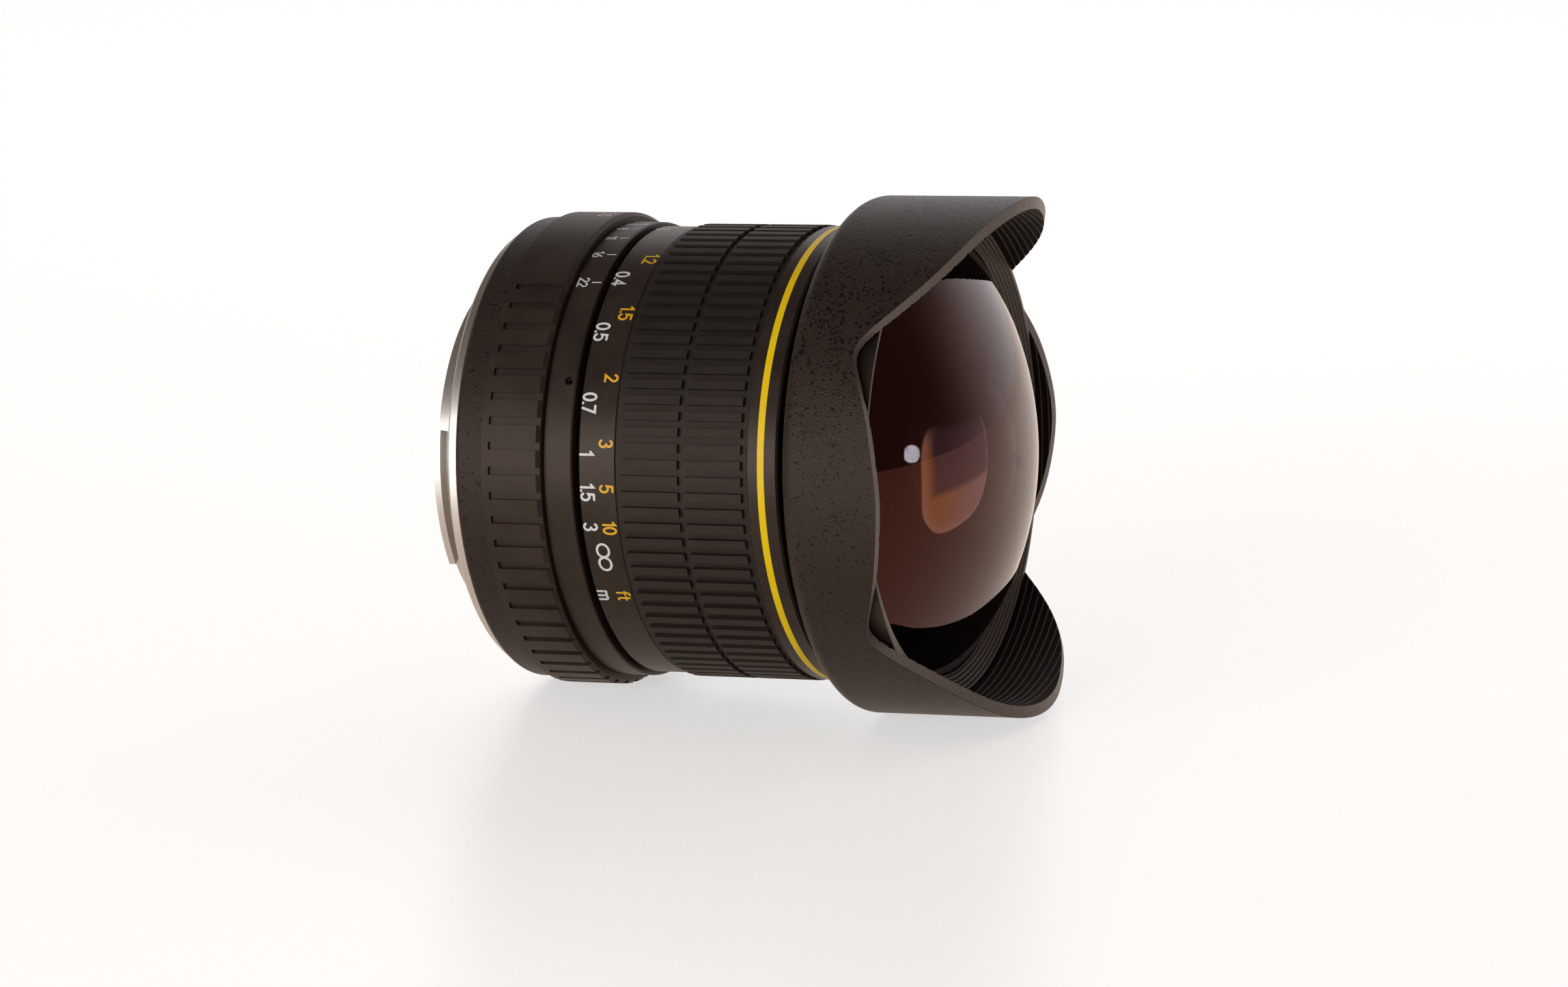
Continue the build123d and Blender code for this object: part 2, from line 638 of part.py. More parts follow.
def aperture_ring():
    """The turning aperture ring: grip grooves, a plain sector for numbers and the click track."""
    body = turned(
        (aperture_start, ring_bore), (aperture_end, ring_bore),
        (aperture_end, aperture_ring_r - APERTURE_CHAMFER),
        (aperture_end - APERTURE_CHAMFER, aperture_ring_r), (aperture_start, aperture_ring_r))
    half = CLICK_TRACK_WIDTH / 2
    body -= tube(click_x - half, click_x + half, ring_bore - 1, click_track_r)
    click_step = APERTURE_THROW / (CLICK_COUNT - 1)
    for k in range(CLICK_COUNT):
        body -= axial_pin(click_x - half, click_x + half, click_track_r, CLICK_AT - k * click_step,
                          CLICK_NOTCH_R)
    length = groove_length
    tool = Box(length, 2 * GROOVE_DEPTH, GROOVE_WIDTH)
    for k in range(GROOVE_COUNT):
        placed = Pos(groove_start + length / 2, aperture_ring_r, 0) * tool
        body -= around(placed, GROOVE_FIRST + k * GROOVE_PITCH)
    for side in (-1, 1):
        body -= radial_pin(arm_pad_x + ARM_PAD_LENGTH / 2, ARM_AT + side * ARM_SCREW_STEP,
                           ring_bore - 1, ring_bore + 2, SMALL_SCREW_R + SLIP)
    return body


def aperture_arm():
    """The bent arm that carries the ring's turn to the diaphragm's drive ring."""
    pad_r = BARREL_R - ARM_PAD_T
    pad = sector(arm_pad_x, arm_pad_x + ARM_PAD_LENGTH, pad_r, ring_bore,
                 ARM_AT - ARM_PAD_HALF, ARM_AT + ARM_PAD_HALF)
    for side in (-1, 1):
        pad -= radial_pin(arm_pad_x + ARM_PAD_LENGTH / 2, ARM_AT + side * ARM_SCREW_STEP,
                          pad_r - 1, ring_bore + 1, SMALL_SCREW_R + SLIP)
    spoke_length = pad_r + 0.3 - arm_rod_low
    spoke = Pos(arm_x + ARM_T / 2, arm_rod_low + spoke_length / 2, 0) * Box(ARM_T, spoke_length, ARM_WIDTH)
    rod_end = iris_ring_start + IRIS_RING_T
    rod_t = arm_rod_high - arm_rod_low
    rod = Pos((arm_x + rod_end) / 2, arm_rod_low + rod_t / 2, 0) * Box(rod_end - arm_x, rod_t, ARM_WIDTH)
    return pad + around(spoke + rod, ARM_AT)


def arm_screw(side):
    """A screw from inside the arm's pad into the aperture ring."""
    return radial_screw(arm_pad_x + ARM_PAD_LENGTH / 2, ARM_AT + side * ARM_SCREW_STEP,
                        BARREL_R - ARM_PAD_T - SLIP, False, ARM_SCREW_L, SMALL_SCREW_R, SMALL_HEAD_R,
                        SMALL_HEAD_T)


def click_ball():
    """The ball that the ring's notches pass over."""
    return around(Pos(click_x, ball_top - BALL_R, 0) * Sphere(BALL_R), CLICK_AT)


def click_spring():
    """The leaf spring under the ball, with the dimple that reaches it."""
    start = click_x - SPRING_WIDTH / 2
    leaf = Box(SPRING_LENGTH, SPRING_T, SPRING_WIDTH)
    leaf = around(Pos(start + SPRING_LENGTH / 2, spring_top - SPRING_T / 2, 0) * leaf, CLICK_AT)
    leaf += radial_pin(click_x, CLICK_AT, spring_top - SPRING_T / 2, ball_top - 2 * BALL_R - SLIP, DIMPLE_R)
    return leaf - radial_pin(spring_screw_x, CLICK_AT, spring_top - 1, spring_top + 1, SMALL_SCREW_R + SLIP)


def click_spring_screw():
    """The screw that holds the leaf spring."""
    return radial_screw(spring_screw_x, CLICK_AT, spring_top - SPRING_T, False, SPRING_SCREW_L,
                        SMALL_SCREW_R, SMALL_HEAD_R, SMALL_HEAD_T)


def guide_barrel():
    """The fixed inner tube: straight guide slots, the cam ring's thrust step and the arm's window."""
    body = turned(
        (floor_end, guide_bore), (guide_end, guide_bore), (guide_end, guide_r),
        (cam_start - THRUST_GAP, guide_r), (cam_start - THRUST_GAP, guide_step_r),
        (cam_start - GUIDE_STEP_T, guide_step_r), (cam_start - GUIDE_STEP_T, guide_r),
        (guide_flange_end, guide_r), (guide_flange_end, guide_flange_r), (floor_end, guide_flange_r))
    body -= sector(arm_x - 0.4, arm_x + ARM_T + 0.4, guide_bore - 1, guide_r + 1, *fork_window)
    half = ROLLER_R + SLOT_GAP
    for angle in THREE_AT:
        slot = Box(FOCUS_TRAVEL + 2 * SLOT_OVERRUN, 2 * GUIDE_WALL + 1, 2 * half)
        slot = around(Pos(follower_x - FOCUS_TRAVEL / 2, guide_r, 0) * slot, angle)
        body -= slot
        for end in (follower_x + SLOT_OVERRUN, follower_x - FOCUS_TRAVEL - SLOT_OVERRUN):
            body -= radial_pin(end, angle, guide_bore - 1, guide_r + 1, half)
        body -= axial_pin(floor_end - 1, guide_flange_end + 1, guide_screw_ring, angle, SCREW_R + SLIP)
    for angle in THREE_BETWEEN_AT:
        body -= axial_pin(guide_end - 2.5, guide_end + 1, guide_end_screw_ring, angle, SCREW_R + SLIP)
    return body - radial_pin(stop_screw_x, STOP_SCREW_AT, guide_bore - 1, guide_r + 1, STOP_SCREW_R + SLIP)


def focus_cam_ring():
    """The turning cam ring: three helical slots, a driving flange and the stop's arc slot."""
    body = turned(
        (cam_start, cam_bore), (cam_end, cam_bore), (cam_end, cam_r),
        (cam_flange_x + CAM_FLANGE_T, cam_r), (cam_flange_x + CAM_FLANGE_T, BARREL_R),
        (cam_flange_x, BARREL_R), (cam_flange_x, cam_r), (cam_start, cam_r))
    half = ROLLER_R + SLOT_GAP
    for angle in THREE_AT:
        body -= helical_slot(angle)
        for turn, x in ((0, follower_x), (FOCUS_THROW, follower_x - FOCUS_TRAVEL)):
            body -= radial_pin(x, angle + turn, cam_bore - 1, cam_r + 1, half)
        body -= radial_pin(cam_screw_x, angle, BARREL_R - CAM_SCREW_L, BARREL_R + 1, SCREW_R + SLIP)
    end = math.degrees((STOP_SCREW_R + SLOT_GAP) / cam_bore) + 0.3
    width = STOP_SCREW_R + SLOT_GAP
    return body - sector(stop_screw_x - width, stop_screw_x + width, cam_bore - 1, cam_r + 1,
                         STOP_SCREW_AT - end, STOP_SCREW_AT + FOCUS_THROW + end)


def helical_slot(angle):
    """A follower's path through the cam ring, from close focus round to infinity."""
    middle = (cam_bore + cam_r) / 2
    path = Helix(FOCUS_TRAVEL * 360 / FOCUS_THROW, FOCUS_TRAVEL, middle, lefthand=True)
    plane = Plane(origin=path @ 0, x_dir=(1, 0, 0), z_dir=path % 0)
    section = plane * Rectangle(CAM_WALL + 1.6, 2 * (ROLLER_R + SLOT_GAP))
    cutter = sweep(section, path=path, is_frenet=True)
    return around(Pos(follower_x, 0, 0) * Rot(-90, 0, 0) * Rot(0, -90, 0) * cutter, angle)


def friction_washer():
    """The thin washer that the cam ring's front end turns against."""
    return tube(guide_end - WASHER_T, guide_end, guide_r + SLIP, cam_r)


def focus_ring():
    """The outer focus ring: distance scale, seat of the rubber grip, and the front collar."""
    body = turned(
        (scale_start, ring_bore), (collar_end, ring_bore), (collar_end, collar_r - COLLAR_CHAMFER),
        (collar_end - COLLAR_CHAMFER, collar_r),
        (accent_start + ACCENT_WIDTH, collar_r), (accent_start + ACCENT_WIDTH, collar_r - ACCENT_DEPTH),
        (accent_start, collar_r - ACCENT_DEPTH), (accent_start, collar_r),
        (grip_end + SEAM_CHAMFER, collar_r),
        (grip_end, collar_r - SEAM_CHAMFER), (grip_end, grip_seat_r), (grip_start, grip_seat_r),
        (grip_start, scale_r - SEAM_CHAMFER), (grip_start - SEAM_CHAMFER, scale_r),
        (scale_start + SCALE_CHAMFER, scale_r), (scale_start, scale_r - SCALE_CHAMFER))
    for angle in THREE_AT:
        body -= radial_pin(cam_screw_x, angle, ring_bore - 1, grip_seat_r + 1, SCREW_R + SLIP)
        body -= radial_pin(cam_screw_x, angle, grip_seat_r - HEAD_T - HEAD_GAP, grip_seat_r + 1,
                           HEAD_R + HEAD_GAP)
    return body


def cam_screw(angle):
    """A screw under the grip that joins the focus ring to the cam ring's flange."""
    return radial_screw(cam_screw_x, angle, grip_seat_r - HEAD_T - HEAD_GAP, True, CAM_SCREW_L,
                        SCREW_R, HEAD_R, HEAD_T)


def focus_grip():
    """The rubber sleeve with two rows of ribs."""
    half = math.asin(RIB_WIDTH / 2 / grip_rib_r)
    root = math.sqrt(grip_base_r ** 2 - (RIB_WIDTH / 2) ** 2)
    points = []
    for k in range(RIB_COUNT):
        middle = math.radians(RIB_FIRST) + 2 * math.pi * k / RIB_COUNT
        for across, height in ((-1, root), (-1, grip_rib_r * math.cos(half)),
                               (1, grip_rib_r * math.cos(half)), (1, root)):
            side = across * RIB_WIDTH / 2
            points.append((height * math.cos(middle) - side * math.sin(middle),
                           height * math.sin(middle) + side * math.cos(middle)))
    toothed = make_face(Polyline(*points, close=True)) - Circle(grip_seat_r + SLIP)
    margin = (grip_end - grip_start - 2 * rib_length - RIB_ROW_GAP) / 2
    body = tube(grip_start, grip_end, grip_seat_r + SLIP, grip_base_r)
    for start in (grip_start + margin, grip_start + margin + rib_length + RIB_ROW_GAP):
        body += extrude(Plane.YZ.offset(start) * toothed, rib_length)
    return body


def accent_ring():
    """The coloured ring let into the front collar."""
    return tube(accent_start + SLIP, accent_start + ACCENT_WIDTH - SLIP, collar_r - ACCENT_DEPTH + SLIP,
                collar_r + SLIP)


def focus_stop_screw():
    """The screw that ends the focus throw in the cam ring's arc slot."""
    return radial_screw(stop_screw_x, STOP_SCREW_AT, cam_r + HEAD_GAP, True, cam_r - guide_bore - 0.3,
                        STOP_SCREW_R, STOP_HEAD_R, HEAD_T)


def follower_roller(angle):
    """A brass roller that runs in the guide slot and the cam slot."""
    roller = radial_pin(follower_x, angle, boss_top + SLIP, roller_top, ROLLER_R)
    return roller - radial_pin(follower_x, angle, boss_top - 1, roller_top + 1, ROLLER_BORE)


def follower_screw(angle):
    """The screw that pins a roller to the focus cell."""
    return radial_screw(follower_x, angle, roller_top + SLIP, True, FOLLOWER_SCREW_L, SMALL_SCREW_R,
                        FOLLOWER_HEAD_R, FOLLOWER_HEAD_T)


def focus_cell():
    """The sliding carrier: two lands, three follower bosses and a web that holds the lens tube."""
    inner = cell_sleeve_r - CELL_WALL
    body = tube(cell_start, cell_end, inner, cell_sleeve_r)
    body += tube(cell_start, cell_start + CELL_LAND, inner + CELL_WALL / 2, cell_land_r)
    body += tube(cell_end - CELL_LAND, cell_end, inner + CELL_WALL / 2, cell_land_r)
    body += tube(cell_web_x, cell_web_x + CELL_WEB_T, tube_r + SLIP, inner + CELL_WALL / 2)
    for angle in THREE_AT:
        body += radial_pin(follower_x, angle, inner + CELL_WALL / 2, boss_top, CELL_BOSS_R)
        body -= radial_pin(follower_x, angle, inner - 1, cell_land_r + 1, SMALL_SCREW_R + SLIP)
    return body - sector(cell_start - 1, cell_end + 1, cell_sleeve_r + 0.4, cell_land_r + 1, *fork_window)


def rear_lens_tube():
    """The tube of the moving group, bored in steps for its three glass groups."""
    seat_6 = surface_x(*glass_7_back, GLASS_6_R)
    seat_8 = surface_x(*glass_8[:2], GLASS_6_R - LENS_LIP / 2)
    bore_6, bore_8, bore_10 = (r + GLASS_GAP for r in (GLASS_6_R, GLASS_8_R, GLASS_10_R))
    spacer_front = surface_x(*glass_10[:2], bore_8) + SEAT_GAP
    return turned(
        (tube_start, bore_10), (spacer_front, bore_10), (spacer_front, bore_8),
        (seat_8 + SEAT_GAP, bore_8), (seat_8 + SEAT_GAP, GLASS_6_R - LENS_LIP / 2),
        (seat_6 - SEAT_GAP, GLASS_6_R - LENS_LIP / 2), (seat_6 - SEAT_GAP, bore_6), (tube_end, bore_6),
        (tube_end, tube_neck_r), (tube_step_x, tube_neck_r), (tube_step_x, tube_r), (tube_start, tube_r))


def lock_ring(x0, x1, inner, outer):
    """A threaded lens lock ring with two spanner slots in its outer face."""
    body = tube(x0, x1, inner, outer)
    depth = (x1 - x0) / 2
    for angle in (0, 180):
        body -= around(Pos(x1, (inner + outer) / 2, 0) * Box(2 * depth, outer - inner + 1, 0.8), angle)
    return body


def front_barrel():
    """The fixed front tube: a web on the guide tube's end and the flange of the front cell."""
    body = turned(
        (guide_end, optics_r + SLIP), (web_end, optics_r + SLIP), (web_end, front_barrel_bore),
        (flange_end, front_barrel_bore),
        (flange_end, front_flange_r), (flange_start, front_flange_r), (flange_start, BARREL_R),
        (guide_end, BARREL_R))
    for angle in THREE_BETWEEN_AT:
        body -= axial_pocket(web_end - HEAD_T - HEAD_GAP, guide_end_screw_ring, angle, -1)
        body -= axial_pocket(flange_end - HEAD_T - HEAD_GAP, hood_screw_ring, angle, -1, HOOD_SCREW_L)
    for angle in THREE_AT:
        body -= axial_pin(guide_end - 1, web_end + 1, optics_screw_ring, angle, SCREW_R + SLIP)
        body -= axial_pin(flange_start - 1, flange_end + 1, front_cell_screw_ring, angle, SCREW_R + SLIP)
    return body


def hood():
    """The fixed petal hood, with its side view cut straight across and light-trap grooves inside."""
    body = spun(
        Polyline((hood_start, BARREL_R + SLIP), (hood_start, hood_rear_r)),
        TangentArc((shoulder_end, hood_r), (hood_start, hood_rear_r), tangent=(-1, 0)),
        Polyline((shoulder_end, hood_r), (petal_tip + 2, hood_r), (petal_tip + 2, hood_bore),
                 (flange_start, hood_bore), (flange_start, BARREL_R + SLIP), (hood_start, BARREL_R + SLIP)))
    x = hood_rib_start
    while x < petal_tip - 1:
        body -= turned((x, hood_bore - 0.3), (x + HOOD_RIB_GAP, hood_bore - 0.3),
                       (x + HOOD_RIB_GAP / 2, hood_bore + HOOD_RIB_DEPTH))
        x += HOOD_RIB_PITCH
    top = [(90 - angle, back) for angle, back in reversed(PETAL_TOP)]
    for angle, points in ((0, PETAL_SIDE), (90, top), (180, PETAL_SIDE), (270, top)):
        body -= Rot(angle, 0, 0) * open_quarter(points)
    for angle in THREE_BETWEEN_AT:
        body -= axial_pin(hood_start + 0.2, flange_start + 1, hood_screw_ring, angle, SCREW_R + SLIP)
    return body


def open_quarter(points):
    """The space in front of a quarter of the petals' edge: a wedge whose cut faces point at the axis."""
    both_ways = [(-angle, back) for angle, back in reversed(points[1:])] + list(points)
    front = petal_tip + PETAL_FRONT
    sections = []
    for out in (hood_bore - CUT_INSIDE, hood_r + CUT_OUTSIDE):
        edge = [(petal_tip - back, out * math.tan(math.radians(angle))) for angle, back in both_ways]
        corners = Polyline(edge[-1], (front, out), (front, -out), edge[0])
        outline = Wire(Spline(*edge).edges() + corners.edges())
        sections.append(Rot(90, 0, 0) * Pos(0, 0, out) * make_face(outline))
    return loft(sections, ruled=True)


def front_cell():
    """The cup that seats the front element."""
    inner = glass_1_r + GLASS_GAP
    skirt = front_cell_r - RETAINER_SKIRT_T - SLIP
    body = turned(
        (flange_end, optics_r + 0.3), (seat_x, optics_r + 0.3), (seat_x, inner), (retainer_x, inner),
        (retainer_x, skirt), (retainer_x - RETAINER_SKIRT - RING_GAP, skirt),
        (retainer_x - RETAINER_SKIRT - RING_GAP, front_cell_r), (flange_end, front_cell_r))
    for angle in THREE_AT:
        body -= axial_pocket(seat_x - HEAD_T - HEAD_GAP, front_cell_screw_ring, angle, -1)
    return body


def front_gasket():
    """The thin gasket between the front element and its seat."""
    return tube(seat_x, glass_1_flat, glass_1_r - GASKET_WIDTH, glass_1_r)


def front_retainer():
    """The stepped ring that holds the front element, rising in fine ridges to the hood's wall."""
    points = [(retainer_x, retainer_in_r)]
    run = (retainer_end - retainer_x - 0.3) / RETAINER_STEPS
    rise = (front_cell_r - retainer_in_r) / RETAINER_STEPS
    x, r = retainer_x + 0.3, retainer_in_r
    for _ in range(RETAINER_STEPS):
        points += [(x, r), (x, r + rise)]
        x, r = x + run, r + rise
    points += [(x, r), (retainer_x - RETAINER_SKIRT, front_cell_r),
               (retainer_x - RETAINER_SKIRT, front_cell_r - RETAINER_SKIRT_T),
               (retainer_x, front_cell_r - RETAINER_SKIRT_T)]
    return turned(*points)


def optics_barrel():
    """The fixed inner barrel: flange, seats of the second group, the doublet and the fifth element."""
    bore_2, bore_3, bore_5 = (r + GLASS_GAP for r in (glass_2_r, GLASS_3_R, GLASS_5_R))
    lip_2, lip_3, lip_5 = glass_2_r - LENS_2_LIP, GLASS_3_R - LENS_LIP, GLASS_5_R - LENS_LIP
    seat_3 = surface_x(*glass_4_back, lip_3) - SEAT_GAP
    seat_5 = surface_x(*glass_5[:2], lip_5) + SEAT_GAP
    web = (seat_3 + seat_5) / 2 - 0.4
    body = turned(
        (optics_start, bore_5), (seat_5, bore_5), (seat_5, lip_5), (web, lip_5), (web, lip_3),
        (seat_3, lip_3), (seat_3, bore_3), (glass_2_flat - 1.2, bore_3), (glass_2_flat - 1.2, lip_2),
        (glass_2_flat - SEAT_GAP, lip_2), (glass_2_flat - SEAT_GAP, bore_2), (optics_end, bore_2),
        (optics_end, optics_r), (web_end + OPTICS_FLANGE_T, optics_r),
        (web_end + OPTICS_FLANGE_T, optics_flange_r), (web_end, optics_flange_r), (web_end, optics_r),
        (optics_start, optics_r))
    for angle in THREE_AT:
        body -= axial_pin(web_end - 1, web_end + OPTICS_FLANGE_T + 1, optics_screw_ring, angle,
                          SCREW_R + SLIP)
        body -= axial_pin(optics_start - 1, optics_start + IRIS_SCREW_BITE + 0.4, iris_screw_ring, angle,
                          IRIS_SCREW_R + SLIP)
    return body


def polar(r, degrees):
    """A point of the YZ plane at a radius and an angle."""
    return (r * math.cos(math.radians(degrees)), r * math.sin(math.radians(degrees)))


def on_yz(face, x0, x1):
    """A flat outline in Y and Z made solid between two stations."""
    return extrude(Plane.YZ.offset(x0) * face, x1 - x0)


def turned_about(point, centre, degrees):
    """A point of the YZ plane turned about another."""
    c, s = math.cos(math.radians(degrees)), math.sin(math.radians(degrees))
    y, z = point[0] - centre[0], point[1] - centre[1]
    return (centre[0] + c * y - s * z, centre[1] + s * y + c * z)


def iris_base():
    """The diaphragm's cup: pivot holes round the opening, and the wall that the drive ring turns in."""
    ring_wall = iris_ring_r + RUN
    body = turned(
        (iris_plate_start, IRIS_OPEN_R), (optics_start, IRIS_OPEN_R + 0.4), (optics_start, optics_r - SLIP),
        (iris_cover_end, optics_r - SLIP), (iris_cover_end, ring_wall), (stack_end, ring_wall),
        (stack_end, iris_wall_r), (iris_plate_start, iris_wall_r))
    body -= sector(iris_cover_end - 1, stack_end + 0.1, ring_wall - 0.1, optics_r + 1, *fork_window)
    for k in range(BLADE_COUNT):
        body -= axial_pin(iris_plate_start - 1, optics_start + 1, blade_pivot_r, 360 * k / BLADE_COUNT,
                          BLADE_PIN_R + RUN)
    for angle in THREE_AT:
        body -= axial_pin(iris_cover_end - 1, optics_start + 1, iris_screw_ring, angle, IRIS_SCREW_R + SLIP)
    return body


def iris_drive_ring():
    """The turning ring with six cam slots, each the path of one blade's pin, and the fork."""
    face = Circle(iris_ring_r) - Circle(iris_ring_bore)
    body = on_yz(face, iris_ring_start, stack_end)
    width = 2 * (BLADE_PIN_R + RUN)
    path = []
    for step in range(9):
        part = step / 8
        pin = turned_about(polar(blade_drive_r, BLADE_LEAD), polar(blade_pivot_r, 0), BLADE_TURN * part)
        path.append(turned_about(pin, (0, 0), -APERTURE_THROW * part))
    slot = trace(Spline(*path), width)
    for end in (path[0], path[-1]):
        slot += Pos(*end) * Circle(width / 2)
    cutter = on_yz(slot, iris_ring_start - 1, stack_end + 1)
    for k in range(BLADE_COUNT):
        body -= around(cutter, 360 * k / BLADE_COUNT)
    thickness = stack_end - iris_ring_start
    root = iris_ring_r - 0.5
    fork = Pos(iris_ring_start + thickness / 2, (root + fork_tip_r) / 2, 0)
    body += around(fork * Box(thickness, fork_tip_r - root, 2 * FORK_HALF_WIDTH), ARM_AT)
    mouth = Pos(iris_ring_start + thickness / 2, arm_rod_low - SLOT_GAP + 1.5, 0)
    return body - around(mouth * Box(3, 3, ARM_WIDTH + 2 * SLOT_GAP), ARM_AT)


def iris_blade(k):
    """A crescent blade in its own layer, with a pivot pin in front and a drive pin behind."""
    layer = iris_plate_start - IRIS_GAP - k * BLADE_PITCH - BLADE_T
    pivot = polar(blade_pivot_r, 0)
    drive = polar(blade_drive_r, BLADE_LEAD)
    tip = polar((blade_in_r + blade_out_r) / 2, BLADE_SPAN)
    outline = [
        CenterArc((0, 0), blade_out_r, -4, BLADE_SPAN + 4),
        CenterArc(tip, (blade_out_r - blade_in_r) / 2, BLADE_SPAN, 180),
        CenterArc((0, 0), blade_in_r, -4, BLADE_SPAN + 4),
        Line(polar(blade_in_r, -4), polar(blade_out_r, -4)),
    ]
    face = make_face(Wire(outline))
    foot = polar(blade_out_r - 1.5, 0)
    face += make_face(Polyline((foot[0], -1.3), (pivot[0], -PIVOT_EAR_R), (pivot[0], PIVOT_EAR_R),
                               (foot[0], 2.2), close=True))
    face += Pos(*pivot) * Circle(PIVOT_EAR_R)
    heel = polar(blade_out_r - 1, BLADE_LEAD)
    arm = Rectangle(blade_drive_r - blade_out_r + 1, 2 * DRIVE_EAR_R)
    face += Pos((heel[0] + drive[0]) / 2, (heel[1] + drive[1]) / 2) * Rot(0, 0, BLADE_LEAD) * arm
    face += Pos(*drive) * Circle(DRIVE_EAR_R)
    blade = on_yz(face, layer, layer + BLADE_T)
    blade += axial_pin(layer + BLADE_T / 2, optics_start - 0.15, blade_pivot_r, 0, BLADE_PIN_R)
    blade += axial_pin(iris_ring_start + 0.1, layer + BLADE_T / 2, blade_drive_r, BLADE_LEAD, BLADE_PIN_R)
    return around(blade, 360 * k / BLADE_COUNT)


def iris_cover():
    """The thin plate that keeps the drive ring in the cup, cut away where the arm passes."""
    body = tube(iris_cover_start, iris_cover_end, iris_cover_bore, optics_r - SLIP)
    body -= sector(iris_cover_start - 1, iris_cover_end + 1, iris_ring_r - 0.2, optics_r + 1, *fork_window)
    for angle in THREE_AT:
        body -= axial_pin(iris_cover_start - 1, iris_cover_end + 1, iris_screw_ring, angle,
                          IRIS_SCREW_R + SLIP)
    return body


def iris_screw(angle):
    """A long screw through the cover and the cup into the optics barrel."""
    length = optics_start + IRIS_SCREW_BITE - iris_cover_start
    return axial_screw(iris_cover_start, iris_screw_ring, angle, 1, length, IRIS_SCREW_R, IRIS_HEAD_R,
                       IRIS_HEAD_T)


def glass():
    """The ten elements, front to back, two cemented pairs of them in the moving group."""
    save("glass_1_front", element(*glass_1, glass_1_r, glass_1_flat))
    save("glass_2_meniscus", element(*glass_2, glass_2_r, glass_2_flat))
    save("glass_3_doublet_front", element(*glass_3, GLASS_3_R))
    save("glass_4_doublet_back", element(glass_3[2] - CEMENT, glass_3[3], *glass_4_back, GLASS_3_R))
    save("glass_5_positive", element(*glass_5, GLASS_5_R))
    save("glass_6_doublet_front", element(*glass_6, GLASS_6_R))
    save("glass_7_doublet_back", element(glass_6[2] - CEMENT, glass_6[3], *glass_7_back, GLASS_6_R))
    save("glass_8_doublet_front", element(*glass_8, GLASS_8_R))
    save("glass_9_doublet_back", element(glass_8[2] - CEMENT, glass_8[3], *glass_9_back, GLASS_8_R))
    save("glass_10_rear", element(*glass_10, GLASS_10_R))


def lock_rings():
    """The threaded rings that hold the glass groups in their seats."""
    lip = glass_2_r - LENS_LIP
    start = surface_x(*glass_2[:2], lip) + SEAT_GAP
    save("glass_2_lock_ring", lock_ring(start, start + LOCK_RING_T, lip, glass_2_r))
    lip = GLASS_3_R - LENS_LIP
    start = surface_x(*glass_3[:2], GLASS_3_R) + SEAT_GAP
    save("glass_3_lock_ring", lock_ring(start, start + LOCK_RING_T, lip, GLASS_3_R))
    lip = GLASS_5_R - LENS_LIP
    end = surface_x(*glass_5[2:], lip) - SEAT_GAP
    save("glass_5_lock_ring", lock_ring(end - LOCK_RING_T, end, lip, GLASS_5_R))
    lip = GLASS_6_R - LENS_LIP
    start = surface_x(*glass_6[:2], lip) + SEAT_GAP
    save("glass_6_lock_ring", lock_ring(start, start + LOCK_RING_T, lip, GLASS_6_R))
    spacer_end = surface_x(*glass_9_back, GLASS_8_R - LENS_LIP) - SEAT_GAP
    spacer_start = surface_x(*glass_10[:2], GLASS_8_R - LENS_LIP) + SEAT_GAP
    save("glass_9_spacer", tube(spacer_start, spacer_end, GLASS_8_R - LENS_LIP, GLASS_8_R))
    lip = GLASS_10_R - LENS_LIP
    end = surface_x(*glass_10[2:], lip) - SEAT_GAP
    save("glass_10_lock_ring", lock_ring(end - LOCK_RING_T, end, lip, GLASS_10_R))


def chassis_screws():
    """The small screws of the chassis: guide tube, front barrel, optics barrel, front cell and hood."""
    screws = []
    for angle in THREE_AT:
        screws.append(axial_screw(guide_flange_end, guide_screw_ring, angle, -1))
        screws.append(axial_screw(web_end + OPTICS_FLANGE_T, optics_screw_ring, angle, -1))
        screws.append(axial_screw(seat_x - HEAD_T - HEAD_GAP, front_cell_screw_ring, angle, -1))
    for angle in THREE_BETWEEN_AT:
        screws.append(axial_screw(web_end - HEAD_T - HEAD_GAP, guide_end_screw_ring, angle, -1,
                                   GUIDE_END_SCREW_L))
        screws.append(axial_screw(flange_end - HEAD_T - HEAD_GAP, hood_screw_ring, angle, -1, HOOD_SCREW_L))
    return screws


save("mount_bayonet", mount_bayonet())
save("mount_screws", *(axial_screw(HEAD_T + HEAD_GAP, mount_screw_ring, a, 1) for a in MOUNT_SCREW_AT))
save("mount_shim", mount_shim())
save("rear_baffle", rear_baffle())
save("baffle_screws", *(baffle_screw(angle) for angle in BAFFLE_SCREW_AT))
save("rear_cover", rear_cover())
save("main_barrel", main_barrel())
save("index_ring", index_ring())
save("index_set_screws", *(set_screw(angle) for angle in SET_SCREW_AT))
save("aperture_ring", aperture_ring())
save("aperture_arm", aperture_arm())
save("aperture_arm_screws", arm_screw(-1), arm_screw(1))
save("click_ball", click_ball())
save("click_spring", click_spring())
save("click_spring_screw", click_spring_screw())
save("guide_barrel", guide_barrel())
save("focus_cam_ring", focus_cam_ring())
save("friction_washer", friction_washer())
save("focus_ring", focus_ring())
save("cam_screws", *(cam_screw(angle) for angle in THREE_AT))
save("focus_grip", focus_grip())
save("accent_ring", accent_ring())
save("focus_stop_screw", focus_stop_screw())
save("follower_rollers", *(follower_roller(angle) for angle in THREE_AT))
save("follower_screws", *(follower_screw(angle) for angle in THREE_AT))
save("focus_cell", focus_cell())
save("rear_lens_tube", rear_lens_tube())
save("front_barrel", front_barrel())
save("hood", hood())
save("front_cell", front_cell())
save("front_gasket", front_gasket())
save("front_retainer", front_retainer())
save("optics_barrel", optics_barrel())
save("iris_base", iris_base())
save("iris_drive_ring", iris_drive_ring())
